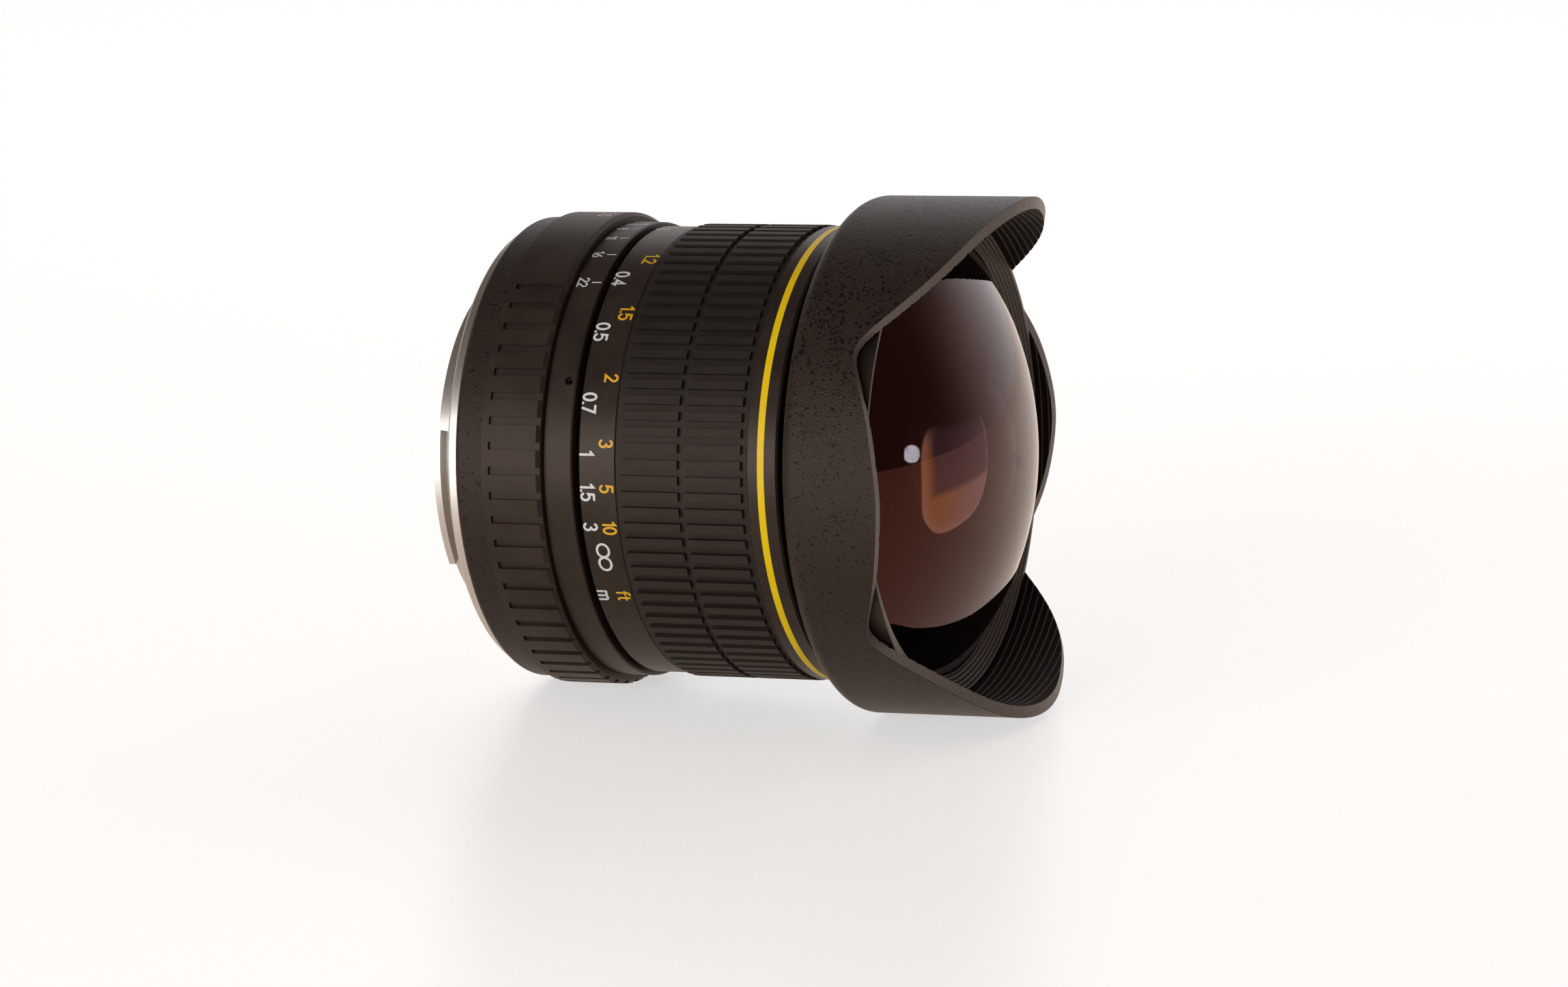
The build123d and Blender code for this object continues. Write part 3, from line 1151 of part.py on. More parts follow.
for number in range(BLADE_COUNT):
    save(f"iris_blade_{number + 1}", iris_blade(number))
save("iris_cover", iris_cover())
save("iris_screws", *(iris_screw(angle) for angle in THREE_AT))
save("chassis_screws", *chassis_screws())
glass()
lock_rings()
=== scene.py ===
import bpy
import math
import numpy as np
from mathutils import Matrix, Vector


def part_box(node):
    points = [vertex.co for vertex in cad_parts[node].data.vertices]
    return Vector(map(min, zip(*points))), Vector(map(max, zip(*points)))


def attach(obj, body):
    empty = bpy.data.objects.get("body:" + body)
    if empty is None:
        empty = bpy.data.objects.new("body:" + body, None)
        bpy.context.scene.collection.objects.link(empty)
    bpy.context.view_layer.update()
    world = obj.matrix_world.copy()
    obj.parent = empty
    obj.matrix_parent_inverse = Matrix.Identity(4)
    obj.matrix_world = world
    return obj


# A manual fisheye prime lens lying on its side on a white table.
# Metres, +X along the optical axis towards the subject, +Z up, origin in the mount's flange.
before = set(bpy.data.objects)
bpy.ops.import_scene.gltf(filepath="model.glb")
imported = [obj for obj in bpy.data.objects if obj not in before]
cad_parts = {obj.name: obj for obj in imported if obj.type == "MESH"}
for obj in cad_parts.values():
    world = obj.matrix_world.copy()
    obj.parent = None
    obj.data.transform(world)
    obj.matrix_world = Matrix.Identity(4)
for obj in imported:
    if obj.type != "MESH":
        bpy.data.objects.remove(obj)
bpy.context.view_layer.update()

MM = 0.001


def reach(node):
    """A node's largest radius round the optical axis, in millimetres."""
    return round(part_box(node)[1][1] / MM, 2)


def ends(node):
    """A node's first and last station along the optical axis, in millimetres."""
    low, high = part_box(node)
    return round(low[0] / MM, 2), round(high[0] / MM, 2)


# Rings that carry printing: the radius of the printed band, in millimetres
COLLAR_RISE = 0.3
INDEX_R = reach("index_ring")
SCALE_R = reach("focus_ring") - COLLAR_RISE
APERTURE_R = reach("aperture_ring")

# Hood: outside radius, radius of its lining, and the station where the petals' bare walls begin
HOOD_WALL = 1.8
HOOD_SHOULDER = 2.3
HOOD_R = reach("hood")
HOOD_BORE = HOOD_R - HOOD_WALL
PETALS_START = ends("hood")[0] + HOOD_SHOULDER

# How deep the hood's paint and its lining reach round the edges of the wall
HOOD_PAINT_T = 0.08
HOOD_LINING_T = 0.05

# The dome's retainer: equal turned steps from its bore to its outside, the last one a flat land
RETAINER_STEPS = 6
RETAINER_BORE = 31.953
RETAINER_R = reach("front_retainer")
RETAINER_STEP = (RETAINER_R - RETAINER_BORE) / RETAINER_STEPS
RETAINER_LAND = 0.53

# Dome: station of its flat back, radius of its side, and the station where that side ends
DOME_BACK = ends("glass_1_front")[0]
DOME_SIDE_R = reach("glass_1_front")
DOME_SIDE_END = 63.5
EDGE_PAINT_GAP = 0.03
EDGE_PAINT_T = 0.05
EDGE_PAINT_BORE = 19.2

# The second element's front is part of a sphere, and a sheet with a painted reflection of the inner
# coatings lies just before it
SECOND_R = 35.0
SECOND_CENTRE = ends("glass_2_meniscus")[1] - SECOND_R
REFLECTION_SHEET_GAP = 0.05
REFLECTION_SHEET_T = 0.03
REFLECTION_SHEET_R = 13.4
REFLECTION_HALF_WIDTH = 12.0
REFLECTION_HALF_HEIGHT = 10.0
REFLECTION_DROP = 2.0

# Plate in the bore of the diaphragm's cover, behind the blades, and the painted glow on it, a disc
# of emission that stands in for daylight seen through the lens: its radius, how far aside it sits,
# and its strength
GLOW_PLATE_INSET = 0.14
GLOW_PLATE = ends("iris_cover")[1] - GLOW_PLATE_INSET
GLOW_PLATE_R = 8.6
GLOW_PLATE_T = 0.1
PAINTED_GLOW_R = 2.0
PAINTED_GLOW_ASIDE = 0.5
PAINTED_GLOW_STRENGTH = 170.0

# A turned disc keeps a bore too small to see, so that all its faces have four corners
PIN_R = 0.02

# How far print stands off its ring
PRINT_LIFT = 0.012

# Black of the painted and anodised rings, and the tone that black finishes mirror
LENS_BLACK = (0.0300, 0.0215, 0.0178)
WARM = (1.0, 0.80, 0.68)

# Heights of the surfaces' grain and of the texture paint, in metres
FAINT = 0.000010
FINE = 0.000012
RUBBERY = 0.000030
COVER_TEXTURE = 0.00020
HOOD_TEXTURE = 0.00026

# The Mix node has a set of sockets for each type of data: factor, first, second and result
MIX_SOCKETS = {"RGBA": (0, 6, 7, 2), "VECTOR": (0, 4, 5, 1)}


# Node trees

class Nodes:
    """A node tree under construction: short ways to add nodes and join them."""

    def __init__(self, owner):
        owner.use_nodes = True
        self.tree = owner.node_tree
        self.tree.nodes.clear()

    def add(self, kind, inputs=(), **settings):
        """A new node; inputs are by name or number, and settings are the node's own options."""
        node = self.tree.nodes.new("ShaderNode" + kind)
        for key, value in settings.items():
            setattr(node, key, value)
        for key, value in dict(inputs).items():
            self.put(node.inputs[key], value)
        return node

    def put(self, socket, value):
        """Joins a socket to an output, or gives it a value."""
        if isinstance(value, bpy.types.NodeSocket):
            self.tree.links.new(value, socket)
        elif isinstance(value, tuple) and len(value) == 3 and socket.type == "RGBA":
            socket.default_value = (*value, 1.0)
        else:
            socket.default_value = value

    def math(self, operation, a, b=0.0, c=0.0, clamp=False):
        node = self.add("Math", {0: a, 1: b, 2: c}, operation=operation, use_clamp=clamp)
        return node.outputs[0]

    def plus(self, a, b):
        return self.math("ADD", a, b)

    def minus(self, a, b):
        return self.math("SUBTRACT", a, b)

    def times(self, a, b, clamp=False):
        return self.math("MULTIPLY", a, b, clamp=clamp)

    def line(self, a, slope, start):
        """The straight line slope times a, plus start."""
        return self.math("MULTIPLY_ADD", a, slope, start)

    def share(self, value, low, high):
        """How far a value is on the way from low to high."""
        return self.line(value, 1 / (high - low), -low / (high - low))

    def ramp(self, value, *stops):
        """A value or colour that follows stops of (place, value or colour)."""
        node = self.add("ValToRGB", {"Fac": value})
        points = node.color_ramp.elements
        for index, (place, colour) in enumerate(stops):
            if isinstance(colour, (int, float)):
                colour = (colour, colour, colour)
            point = points[index] if index < len(points) else points.new(place)
            point.position = place
            point.color = (*colour, 1.0)
        return node.outputs["Color"]

    def rise(self, value, low, high):
        """0 up to low, 1 from high on, and straight between them."""
        return self.ramp(value, (low, 0.0), (high, 1.0))

    def fall(self, value, low, high):
        """1 up to low, 0 from high on, and straight between them."""
        return self.ramp(value, (low, 1.0), (high, 0.0))

    def mix(self, factor, a, b, data="RGBA"):
        node = self.add("Mix", data_type=data)
        *inputs, result = MIX_SOCKETS[data]
        for index, value in zip(inputs, (factor, a, b)):
            self.put(node.inputs[index], value)
        return node.outputs[result]


class Finish(Nodes):
    """A material that reads the lens's own coordinates, in metres from the flange's centre."""

    def __init__(self, name):
        self.material = bpy.data.materials.new(name)
        super().__init__(self.material)
        self.output = self.add("OutputMaterial")
        self.place = None
        self.parts = None

    def coords(self):
        """Object coordinates, the same on every piece because all objects sit at the origin."""
        if self.place is None:
            self.place = self.add("TexCoord").outputs["Object"]
        return self.place

    def axis(self, letter):
        if self.parts is None:
            self.parts = self.add("SeparateXYZ", {"Vector": self.coords()})
        return self.parts.outputs[letter]

    def millimetres(self, letter):
        return self.times(self.axis(letter), 1 / MM)

    def distance(self, y, z):
        """The root of y squared plus z squared."""
        return self.math("SQRT", self.plus(self.times(y, y), self.times(z, z)))

    def radius(self):
        """Distance from the optical axis."""
        return self.distance(self.axis("Y"), self.axis("Z"))

    def noise(self, scale, detail=3.0, rough=0.55, vector=None, distortion=0.0):
        node = self.add("TexNoise", {"Vector": vector or self.coords(), "Scale": scale,
                                     "Detail": detail, "Roughness": rough,
                                     "Distortion": distortion})
        return node.outputs["Fac"]

    def cells(self, scale, feature="F1"):
        node = self.add("TexVoronoi", {"Vector": self.coords(), "Scale": scale}, feature=feature)
        return node.outputs["Distance"]

    def dust(self, scale, size, patch_scale, patch, strength):
        """Small round specks, inside loose patches only.

        size is where a speck's disc ends, and patch where a patch begins, as (from, to)."""
        speck = self.fall(self.cells(scale), *size)
        patches = self.rise(self.noise(patch_scale, detail=1.0), *patch)
        return self.times(speck, self.times(patches, strength))

    def bump(self, height, distance, strength=1.0):
        inputs = {"Height": height, "Distance": distance, "Strength": strength}
        return self.add("Bump", inputs).outputs[0]

    def grain(self, scale, strength, height=FAINT):
        return self.bump(self.noise(scale), height, strength)

    def shader(self, **sockets):
        """A principled shader; its sockets are named with spaces written as underscores."""
        node = self.add("BsdfPrincipled")
        for key, value in sockets.items():
            self.put(node.inputs[key.replace("_", " ")], value)
        return node.outputs[0]

    def done(self, shader):
        """The material, with this shader as its surface."""
        self.put(self.output.inputs["Surface"], shader)
        return self.material

    def surface(self, **sockets):
        return self.done(self.shader(**sockets))


def shade(colour, *factors):
    """A colour made darker or lighter by each factor."""
    return [tuple(part * factor for part in colour) for factor in factors]


# Finishes of the rings and the hood

def satin_black(name, base, rough, speck=0.35, gloss=0.24):
    """Anodised or sprayed metal: a fine grain, faint handling marks and a few light dust specks."""
    s = Finish(name)
    spread = 0.06
    cloud = s.noise(160.0, detail=4.0, rough=0.6)
    colour = s.mix(s.rise(cloud, 0.35, 0.65), *shade(base, 0.8, 1.25))
    dust = s.dust(700.0, size=(0.03, 0.055), patch_scale=420.0, patch=(0.60, 0.66),
                  strength=speck)
    colour = s.mix(dust, colour, (0.32, 0.30, 0.28))
    roughness = s.plus(rough - spread / 2, s.times(cloud, spread))
    relief = s.bump(s.noise(9000.0, detail=2.0), FINE, strength=0.5)
    return s.surface(Base_Color=colour, Roughness=roughness, IOR=1.5, Specular_IOR_Level=gloss,
                     Specular_Tint=WARM, Normal=relief)


def pits_and_grain(s, cover, full_from):
    """Sprayed texture paint: irregular pits, and between them a fine leathery grain.

    A pit is an island where a noise rises over the level cover, which wanders a little from
    place to place. From the height full_from above the axis, in millimetres, the pits are at
    their full number, and they are nearly gone 14 mm lower. Returns the height and the pits."""
    fade = 14 * MM
    full = full_from * MM
    island = s.noise(1900.0, detail=1.2, rough=0.5, distortion=0.2)
    crowd = s.noise(210.0, detail=2.0, rough=0.5)
    level = s.line(crowd, -0.20, cover + 0.10)
    up = s.share(s.axis("Z"), full - 1.5 * fade, full + 0.5 * fade)
    level = s.plus(level, s.ramp(up, (0.25, 0.085), (0.75, 0.0)))
    pits = s.times(s.minus(island, level), 26.0, clamp=True)
    leather = s.times(s.noise(5200.0, rough=0.62), 0.20)
    pebble = s.times(s.cells(4200.0, feature="SMOOTH_F1"), 0.24)
    return s.minus(s.plus(leather, pebble), pits), pits


def uneven(s, colour):
    """A colour that wanders between a darker and a lighter shade."""
    return s.mix(s.noise(140.0, detail=4.0, rough=0.6), *shade(colour, 0.8, 1.25))


def texture_paint(name, base):
    """Texture paint all over, as on the cover ring, with painted shade in its pits."""
    s = Finish(name)
    height, pits = pits_and_grain(s, cover=0.60, full_from=30.0)
    # Painted shade: the pits are darkened to a fifth of the paint's black
    colour = s.mix(s.times(pits, 0.8), uneven(s, base), *shade(base, 0.2))
    return s.surface(Base_Color=colour, Roughness=s.line(pits, -0.1, 0.42), IOR=1.5,
                     Specular_IOR_Level=0.20, Specular_Tint=WARM,
                     Normal=s.bump(height, COVER_TEXTURE))


def hood_paint(name, base, rim, inside):
    """The hood's three finishes, told apart by the distance from the axis and the station:
    texture paint outside with painted shade in its pits, a calm grey-brown cut edge between the
    walls, and a matt lining."""
    s = Finish(name)
    height, pits = pits_and_grain(s, cover=0.585, full_from=24.0)
    r = s.radius()
    ahead = s.math("GREATER_THAN", s.axis("X"), PETALS_START * MM)
    within = s.math("LESS_THAN", r, (HOOD_R - HOOD_PAINT_T) * MM)
    lining = s.times(s.math("LESS_THAN", r, (HOOD_BORE + HOOD_LINING_T) * MM), ahead)
    cut = s.minus(s.times(within, ahead), lining)
    fine = s.noise(5200.0, rough=0.6)
    # Painted shade: the pits are darkened to 8 percent of the paint's black
    outer = s.mix(s.times(pits, 0.85), uneven(s, base), *shade(base, 0.08))
    edge = s.mix(fine, *shade(rim, 0.72, 1.25))
    colour = s.mix(lining, s.mix(cut, outer, edge), inside)
    rough = s.line(lining, 0.30, s.line(pits, -0.12, 0.40))
    bare = s.math("MAXIMUM", cut, lining)
    relief = s.mix(bare, s.bump(height, HOOD_TEXTURE), s.bump(fine, FINE, strength=0.5),
                   data="VECTOR")
    return s.surface(Base_Color=colour, Roughness=rough, IOR=1.5, Specular_IOR_Level=0.20,
                     Specular_Tint=WARM, Normal=relief)


def grip_rubber(name):
    """Black rubber: a dull fine grain with pale dust caught on it."""
    s = Finish(name)
    cloud = s.noise(220.0, detail=4.0, rough=0.6)
    colour = s.mix(cloud, (0.014, 0.011, 0.0098), (0.026, 0.021, 0.0185))
    dust = s.dust(560.0, size=(0.028, 0.05), patch_scale=330.0, patch=(0.585, 0.64),
                  strength=0.5)
    colour = s.mix(dust, colour, (0.4, 0.38, 0.35))
    return s.surface(Base_Color=colour, Roughness=0.58, IOR=1.48, Specular_IOR_Level=0.32,
                     Specular_Tint=WARM, Normal=s.grain(5200.0, 0.6, height=RUBBERY))


def enamel(name, deep, bright):
    """The line of the collar: smooth paint with a slightly deeper tone in its dips."""
    s = Finish(name)
    return s.surface(Base_Color=s.mix(s.noise(300.0), deep, bright), Roughness=0.40, IOR=1.5,
                     Specular_IOR_Level=0.22, Normal=s.grain(4000.0, 0.4))


def ridged_black(name):
    """The dome's retainer: grey-black turned steps with a pale line painted along each corner, a
    painted highlight.

    The steps rise by RETAINER_STEP in radius, so the distance to the nearest corner is the
    radius folded at half a step."""
    s = Finish(name)
    climb = s.minus(s.times(s.radius(), 1 / MM), RETAINER_BORE)
    # Painted highlight: a pale line along the corner of each step
    corner_highlight = s.fall(s.math("PINGPONG", climb, RETAINER_STEP / 2), 0.05, 0.10)
    colour = s.mix(corner_highlight, (0.024, 0.019, 0.017), (0.34, 0.30, 0.28))
    land = s.math("GREATER_THAN", s.radius(), (RETAINER_R - RETAINER_LAND) * MM)
    return s.surface(Base_Color=s.mix(land, colour, (0.006, 0.0045, 0.004)), Roughness=0.40,
                     IOR=1.5, Specular_Tint=WARM, Normal=s.grain(5000.0, 0.5))


# Finishes of metal, glass and print

def turned_steel(name, colour, rough):
    """Machined steel: fine circular tool marks, which follow the station on the round sides
    and the distance from the axis on the flat faces."""
    s = Finish(name)
    tool = 9000.0
    along = s.add("Mapping", {"Vector": s.coords(), "Scale": (tool, 30.0, 30.0)}).outputs[0]
    across = s.add("CombineXYZ", {"X": s.times(s.radius(), tool)}).outputs[0]
    marks = s.plus(s.times(s.noise(1.0, detail=4.0, rough=0.7, vector=along), 0.5),
                   s.times(s.noise(1.0, rough=0.6, vector=across), 0.5))
    tone = s.mix(s.noise(180.0), *shade(colour, 0.86), colour)
    return s.surface(Base_Color=tone, Metallic=1.0, Roughness=s.line(marks, 0.16, rough - 0.08),
                     Normal=s.bump(marks, FINE, strength=0.6))


def plain_metal(name, colour, rough):
    """Small metal parts: a light uneven finish."""
    s = Finish(name)
    tone = s.mix(s.noise(600.0), *shade(colour, 0.8), colour)
    return s.surface(Base_Color=tone, Metallic=1.0, Roughness=rough, Normal=s.grain(4000.0, 0.5))


def coated_glass(name, index, tone, coating):
    """Polished coated glass: tone is what it passes, and coating tints what it mirrors when seen
    square on. Towards the limb the mirroring grows white by itself, as the index gives."""
    s = Finish(name)
    film = s.ramp(s.noise(90.0, rough=0.5), (0.3, *shade(tone, 0.94)), (0.7, tone))
    return s.surface(Base_Color=film, Roughness=0.0, IOR=index, Transmission_Weight=1.0,
                     Specular_Tint=coating)


def printed_paint(name, colour):
    """Filled paint of the engraved figures."""
    s = Finish(name)
    tone = s.mix(s.noise(900.0, detail=2.0), *shade(colour, 0.9), colour)
    return s.surface(Base_Color=tone, Roughness=0.5, IOR=1.45, Normal=s.grain(5000.0, 0.4))


def edge_paint(name):
    """Dead black paint on ground glass."""
    s = Finish(name)
    tone = s.mix(s.noise(600.0), (0.0035, 0.0022, 0.0020), (0.0050, 0.0032, 0.0030))
    return s.surface(Base_Color=tone, Roughness=0.7, Specular_IOR_Level=0.0)


def painted_coating_reflection(name):
    """A painted reflection that glows by itself: the soft tinted shapes that the inner coatings
    throw back, an amber strip, a violet field and a rosy foot inside one rounded outline with a
    pale painted highlight along its edge, clear outside it.

    With y across and z up in millimetres, the outline is where the cube of y over its half
    width and the cube of z, lowered, over its half height add up to 1."""
    s = Finish(name)
    y, z = s.millimetres("Y"), s.millimetres("Z")
    across = s.times(y, 1 / REFLECTION_HALF_WIDTH)
    up = s.line(z, 1 / REFLECTION_HALF_HEIGHT, REFLECTION_DROP / REFLECTION_HALF_HEIGHT)
    outward = s.plus(*(s.math("POWER", s.math("ABSOLUTE", part), 3.0) for part in (across, up)))
    inside = s.fall(outward, 0.90, 1.0)
    # Painted highlight: a pale band along the inside of the outline
    rim = s.times(s.rise(outward, 0.55, 0.93), inside)
    amber = s.fall(s.share(y, -15, 5), 0.22, 0.31)
    foot = s.fall(s.share(z, -10, 10), 0.24, 0.30)
    head = s.fall(s.share(z, -10, 10), 0.66, 0.80)
    rosy = s.mix(s.rise(s.share(y, -10, 10), 0.1, 0.6), (0.62, 0.32, 0.06), (0.55, 0.36, 0.28))
    colour = s.mix(amber, (0.095, 0.066, 0.080), (0.62, 0.30, 0.02))
    colour = s.mix(foot, colour, rosy)
    colour = s.mix(s.times(rim, 0.35), colour, (0.95, 0.75, 0.65))
    level = s.times(s.times(inside, head), s.line(s.noise(120.0), 0.5, 0.75))
    # Emission paints the coatings' reflection, so the sheet glows by itself
    light = s.shader(Base_Color=(0.0, 0.0, 0.0), Roughness=0.5, Specular_IOR_Level=0.0,
                     Emission_Strength=3.0, Emission_Color=colour)
    clear = s.add("BsdfTransparent").outputs[0]
    return s.done(s.add("MixShader", {0: s.times(level, 0.85), 1: clear, 2: light}).outputs[0])


def painted_glow_finish(name):
    """Black, with a painted glow: a round disc of emission that stands in for the white of the room
    behind the mount seen through the lens.
    """
    s = Finish(name)
    aside = s.minus(s.axis("Y"), PAINTED_GLOW_ASIDE * MM)
    # Painted glow: a round disc of emission, though no light reaches it through the lens
    glow_disc = s.math("LESS_THAN", s.distance(aside, s.axis("Z")), PAINTED_GLOW_R * MM)
    tone = s.mix(s.noise(400.0, detail=2.0), (0.60, 0.98, 0.86), (0.66, 1.0, 0.90))
    return s.surface(Base_Color=s.mix(glow_disc, (0.008, 0.007, 0.007), tone), Roughness=0.6,
                     Emission_Color=tone, Emission_Strength=s.times(glow_disc, PAINTED_GLOW_STRENGTH))


def dress(material, *nodes):
    """Gives CAD nodes a finish."""
    for name in nodes:
        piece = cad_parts[name]
        if piece.material_slots:
            for slot in piece.material_slots:
                slot.material = material
        else:
            piece.data.materials.append(material)


def outside_finishes():
    """What the photograph shows: mount, rings, grip, hood and retainer."""
    dress(turned_steel("mount_steel", (0.58, 0.55, 0.52), rough=0.36), "mount_bayonet")
    dress(texture_paint("cover_paint", LENS_BLACK), "rear_cover")
    dress(satin_black("aperture_satin", LENS_BLACK, rough=0.46), "aperture_ring")
    dress(satin_black("index_satin", LENS_BLACK, rough=0.42), "index_ring")
    dress(satin_black("focus_satin", *shade(LENS_BLACK, 0.90), rough=0.38), "focus_ring")
    dress(grip_rubber("ribbed_rubber"), "focus_grip")
    dress(enamel("yellow_enamel", (1.0, 0.62, 0.004), (1.0, 0.74, 0.008)), "accent_ring")
    dress(hood_paint("hood_paint", LENS_BLACK, rim=(0.225, 0.186, 0.172),
                     inside=(0.0140, 0.0106, 0.0090)), "hood")
    dress(ridged_black("retainer_black"), "front_retainer")


def inside_finishes():
    """Screws, drives, blackened cells and tubes, and the ten pieces of glass."""
    dress(plain_metal("screw_steel", (0.62, 0.60, 0.58), rough=0.32), "mount_screws",
          "click_spring_screw", "cam_screws", "focus_stop_screw", "follower_screws",
          "iris_screws", "aperture_arm_screws", "click_spring", "aperture_arm", "click_ball")
    dress(plain_metal("dark_screw", (0.06, 0.05, 0.045), rough=0.4),
          "baffle_screws", "chassis_screws", "index_set_screws")
    dress(plain_metal("brass", (0.72, 0.52, 0.22), rough=0.3),
          "mount_shim", "follower_rollers", "iris_drive_ring")
    dress(plain_metal("guide_alloy", (0.42, 0.42, 0.43), rough=0.35),
          "guide_barrel", "focus_cam_ring")
    dress(satin_black("cell_matt", (0.0060, 0.0045, 0.0040), rough=0.55, speck=0.0, gloss=0.05),
          "front_barrel", "front_cell", "optics_barrel", "glass_2_lock_ring",
          "glass_3_lock_ring", "iris_base", "front_gasket")
    dress(satin_black("inner_matt", (0.012, 0.011, 0.010), rough=0.62, speck=0.0),
          "main_barrel", "iris_cover", "focus_cell", "rear_lens_tube", "glass_5_lock_ring",
          "glass_6_lock_ring", "glass_9_spacer", "glass_10_lock_ring", "friction_washer",
          "rear_baffle", *(f"iris_blade_{k}" for k in range(1, 7)))
    # The dome's dark tone is painted shade: the glass passes only a few percent, which darkens the
    # lens's inside seen through it
    dress(coated_glass("dome_glass_painted_shade", 1.62, (0.075, 0.045, 0.054), (0.85, 0.24, 0.18)),
          "glass_1_front")
    dress(coated_glass("violet_glass", 1.60, (0.90, 0.86, 0.90), (0.60, 0.35, 0.55)),
          "glass_2_meniscus", "glass_7_doublet_back", "glass_10_rear")
    dress(coated_glass("blue_glass", 1.42, (0.90, 0.90, 0.94), (0.30, 0.45, 0.80)),
          "glass_5_positive")
    dress(coated_glass("amber_glass", 1.60, (0.90, 0.88, 0.84), (0.9, 0.50, 0.10)),
          "glass_3_doublet_front", "glass_6_doublet_front", "glass_9_doublet_back")
    dress(coated_glass("green_glass", 1.60, (0.88, 0.90, 0.88), (0.30, 0.60, 0.35)),
          "glass_4_doublet_back", "glass_8_doublet_front")


# New pieces

def add_piece(name, points, quads, body, material):
    """A new mesh piece that rides on a body."""
    mesh = bpy.data.meshes.new(name)
    mesh.from_pydata(points.tolist(), [], quads.tolist())
    mesh.materials.append(material)
    mesh.update()
    piece = bpy.data.objects.new(name, mesh)
    bpy.context.scene.collection.objects.link(piece)
    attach(piece, body)


def revolved(name, profile, material, steps):
    """A closed profile of (station, radius) points turned round the optical axis, in millimetres.

    Each point becomes a ring: x is the station, y is minus the radius times cos t, and z is the
    radius times sin t. Neighbouring rings are joined by quads. The profile runs clockwise, with
    stations to the right and radii up, so that the faces look outwards."""
    x, r = np.asarray(profile, float).T
    t = np.linspace(0, 2 * math.pi, steps, endpoint=False)
    grid = (np.repeat(x[:, None], steps, 1), -np.outer(r, np.cos(t)), np.outer(r, np.sin(t)))
    i, j = np.meshgrid(np.arange(len(x)), np.arange(steps), indexing="ij")
    i2, j2 = (i + 1) % len(x), (j + 1) % steps
    quads = np.stack((i * steps + j, i2 * steps + j, i2 * steps + j2, i * steps + j2), 2)
    add_piece(name, (np.stack(grid, 2) * MM).reshape(-1, 3), quads.reshape(-1, 4),
              "barrel", material)


def dome_edge_paint():
    """Black paint on the dome's hidden back and side: an L in section, just under the polish."""
    back, side = DOME_BACK + EDGE_PAINT_GAP, DOME_SIDE_R - EDGE_PAINT_GAP
    front, under = back + EDGE_PAINT_T, side - EDGE_PAINT_T
    bevel = 0.02
    profile = [(back, EDGE_PAINT_BORE - bevel), (back, side), (DOME_SIDE_END, side),
               (DOME_SIDE_END, under), (front, under), (front, EDGE_PAINT_BORE + bevel)]
    revolved("dome_edge_paint", profile, edge_paint("edge_paint"), steps=180)


def painted_reflection_sheet():
    """A clear sheet before the second element that carries the painted reflection of the coatings:
    the station is the sphere's centre plus the root of its radius squared minus the distance from
    the axis squared."""
    r = np.linspace(PIN_R, REFLECTION_SHEET_R, 14)
    front = np.column_stack((SECOND_CENTRE + np.sqrt((SECOND_R + REFLECTION_SHEET_GAP) ** 2 - r ** 2), r))
    profile = np.vstack((front[::-1], front - (REFLECTION_SHEET_T, 0)))
    revolved("painted_reflection_sheet", profile, painted_coating_reflection("painted_reflection_sheet"), steps=96)


def glow_plate():
    """A thin round black plate behind the blades, which carries the painted glow."""
    back = GLOW_PLATE - GLOW_PLATE_T
    profile = [(back, PIN_R), (back, GLOW_PLATE_R), (GLOW_PLATE, GLOW_PLATE_R),
               (GLOW_PLATE, PIN_R)]
    revolved("glow_plate", profile, painted_glow_finish("glow_plate"), steps=96)


# Printing

def arc(cx, cy, rx, ry, start, stop, count=14):
    """Points of an ellipse's arc, angles in degrees, anticlockwise from start to stop."""
    t = np.radians(np.linspace(start, stop, count))
    return np.column_stack((cx + rx * np.cos(t), cy + ry * np.sin(t)))


def run(*points):
    """A broken line."""
    return np.array(points, float)


def joined(*parts):
    """Several stretches as one stroke."""
    return np.vstack(parts)


INFINITY = "\N{INFINITY}"

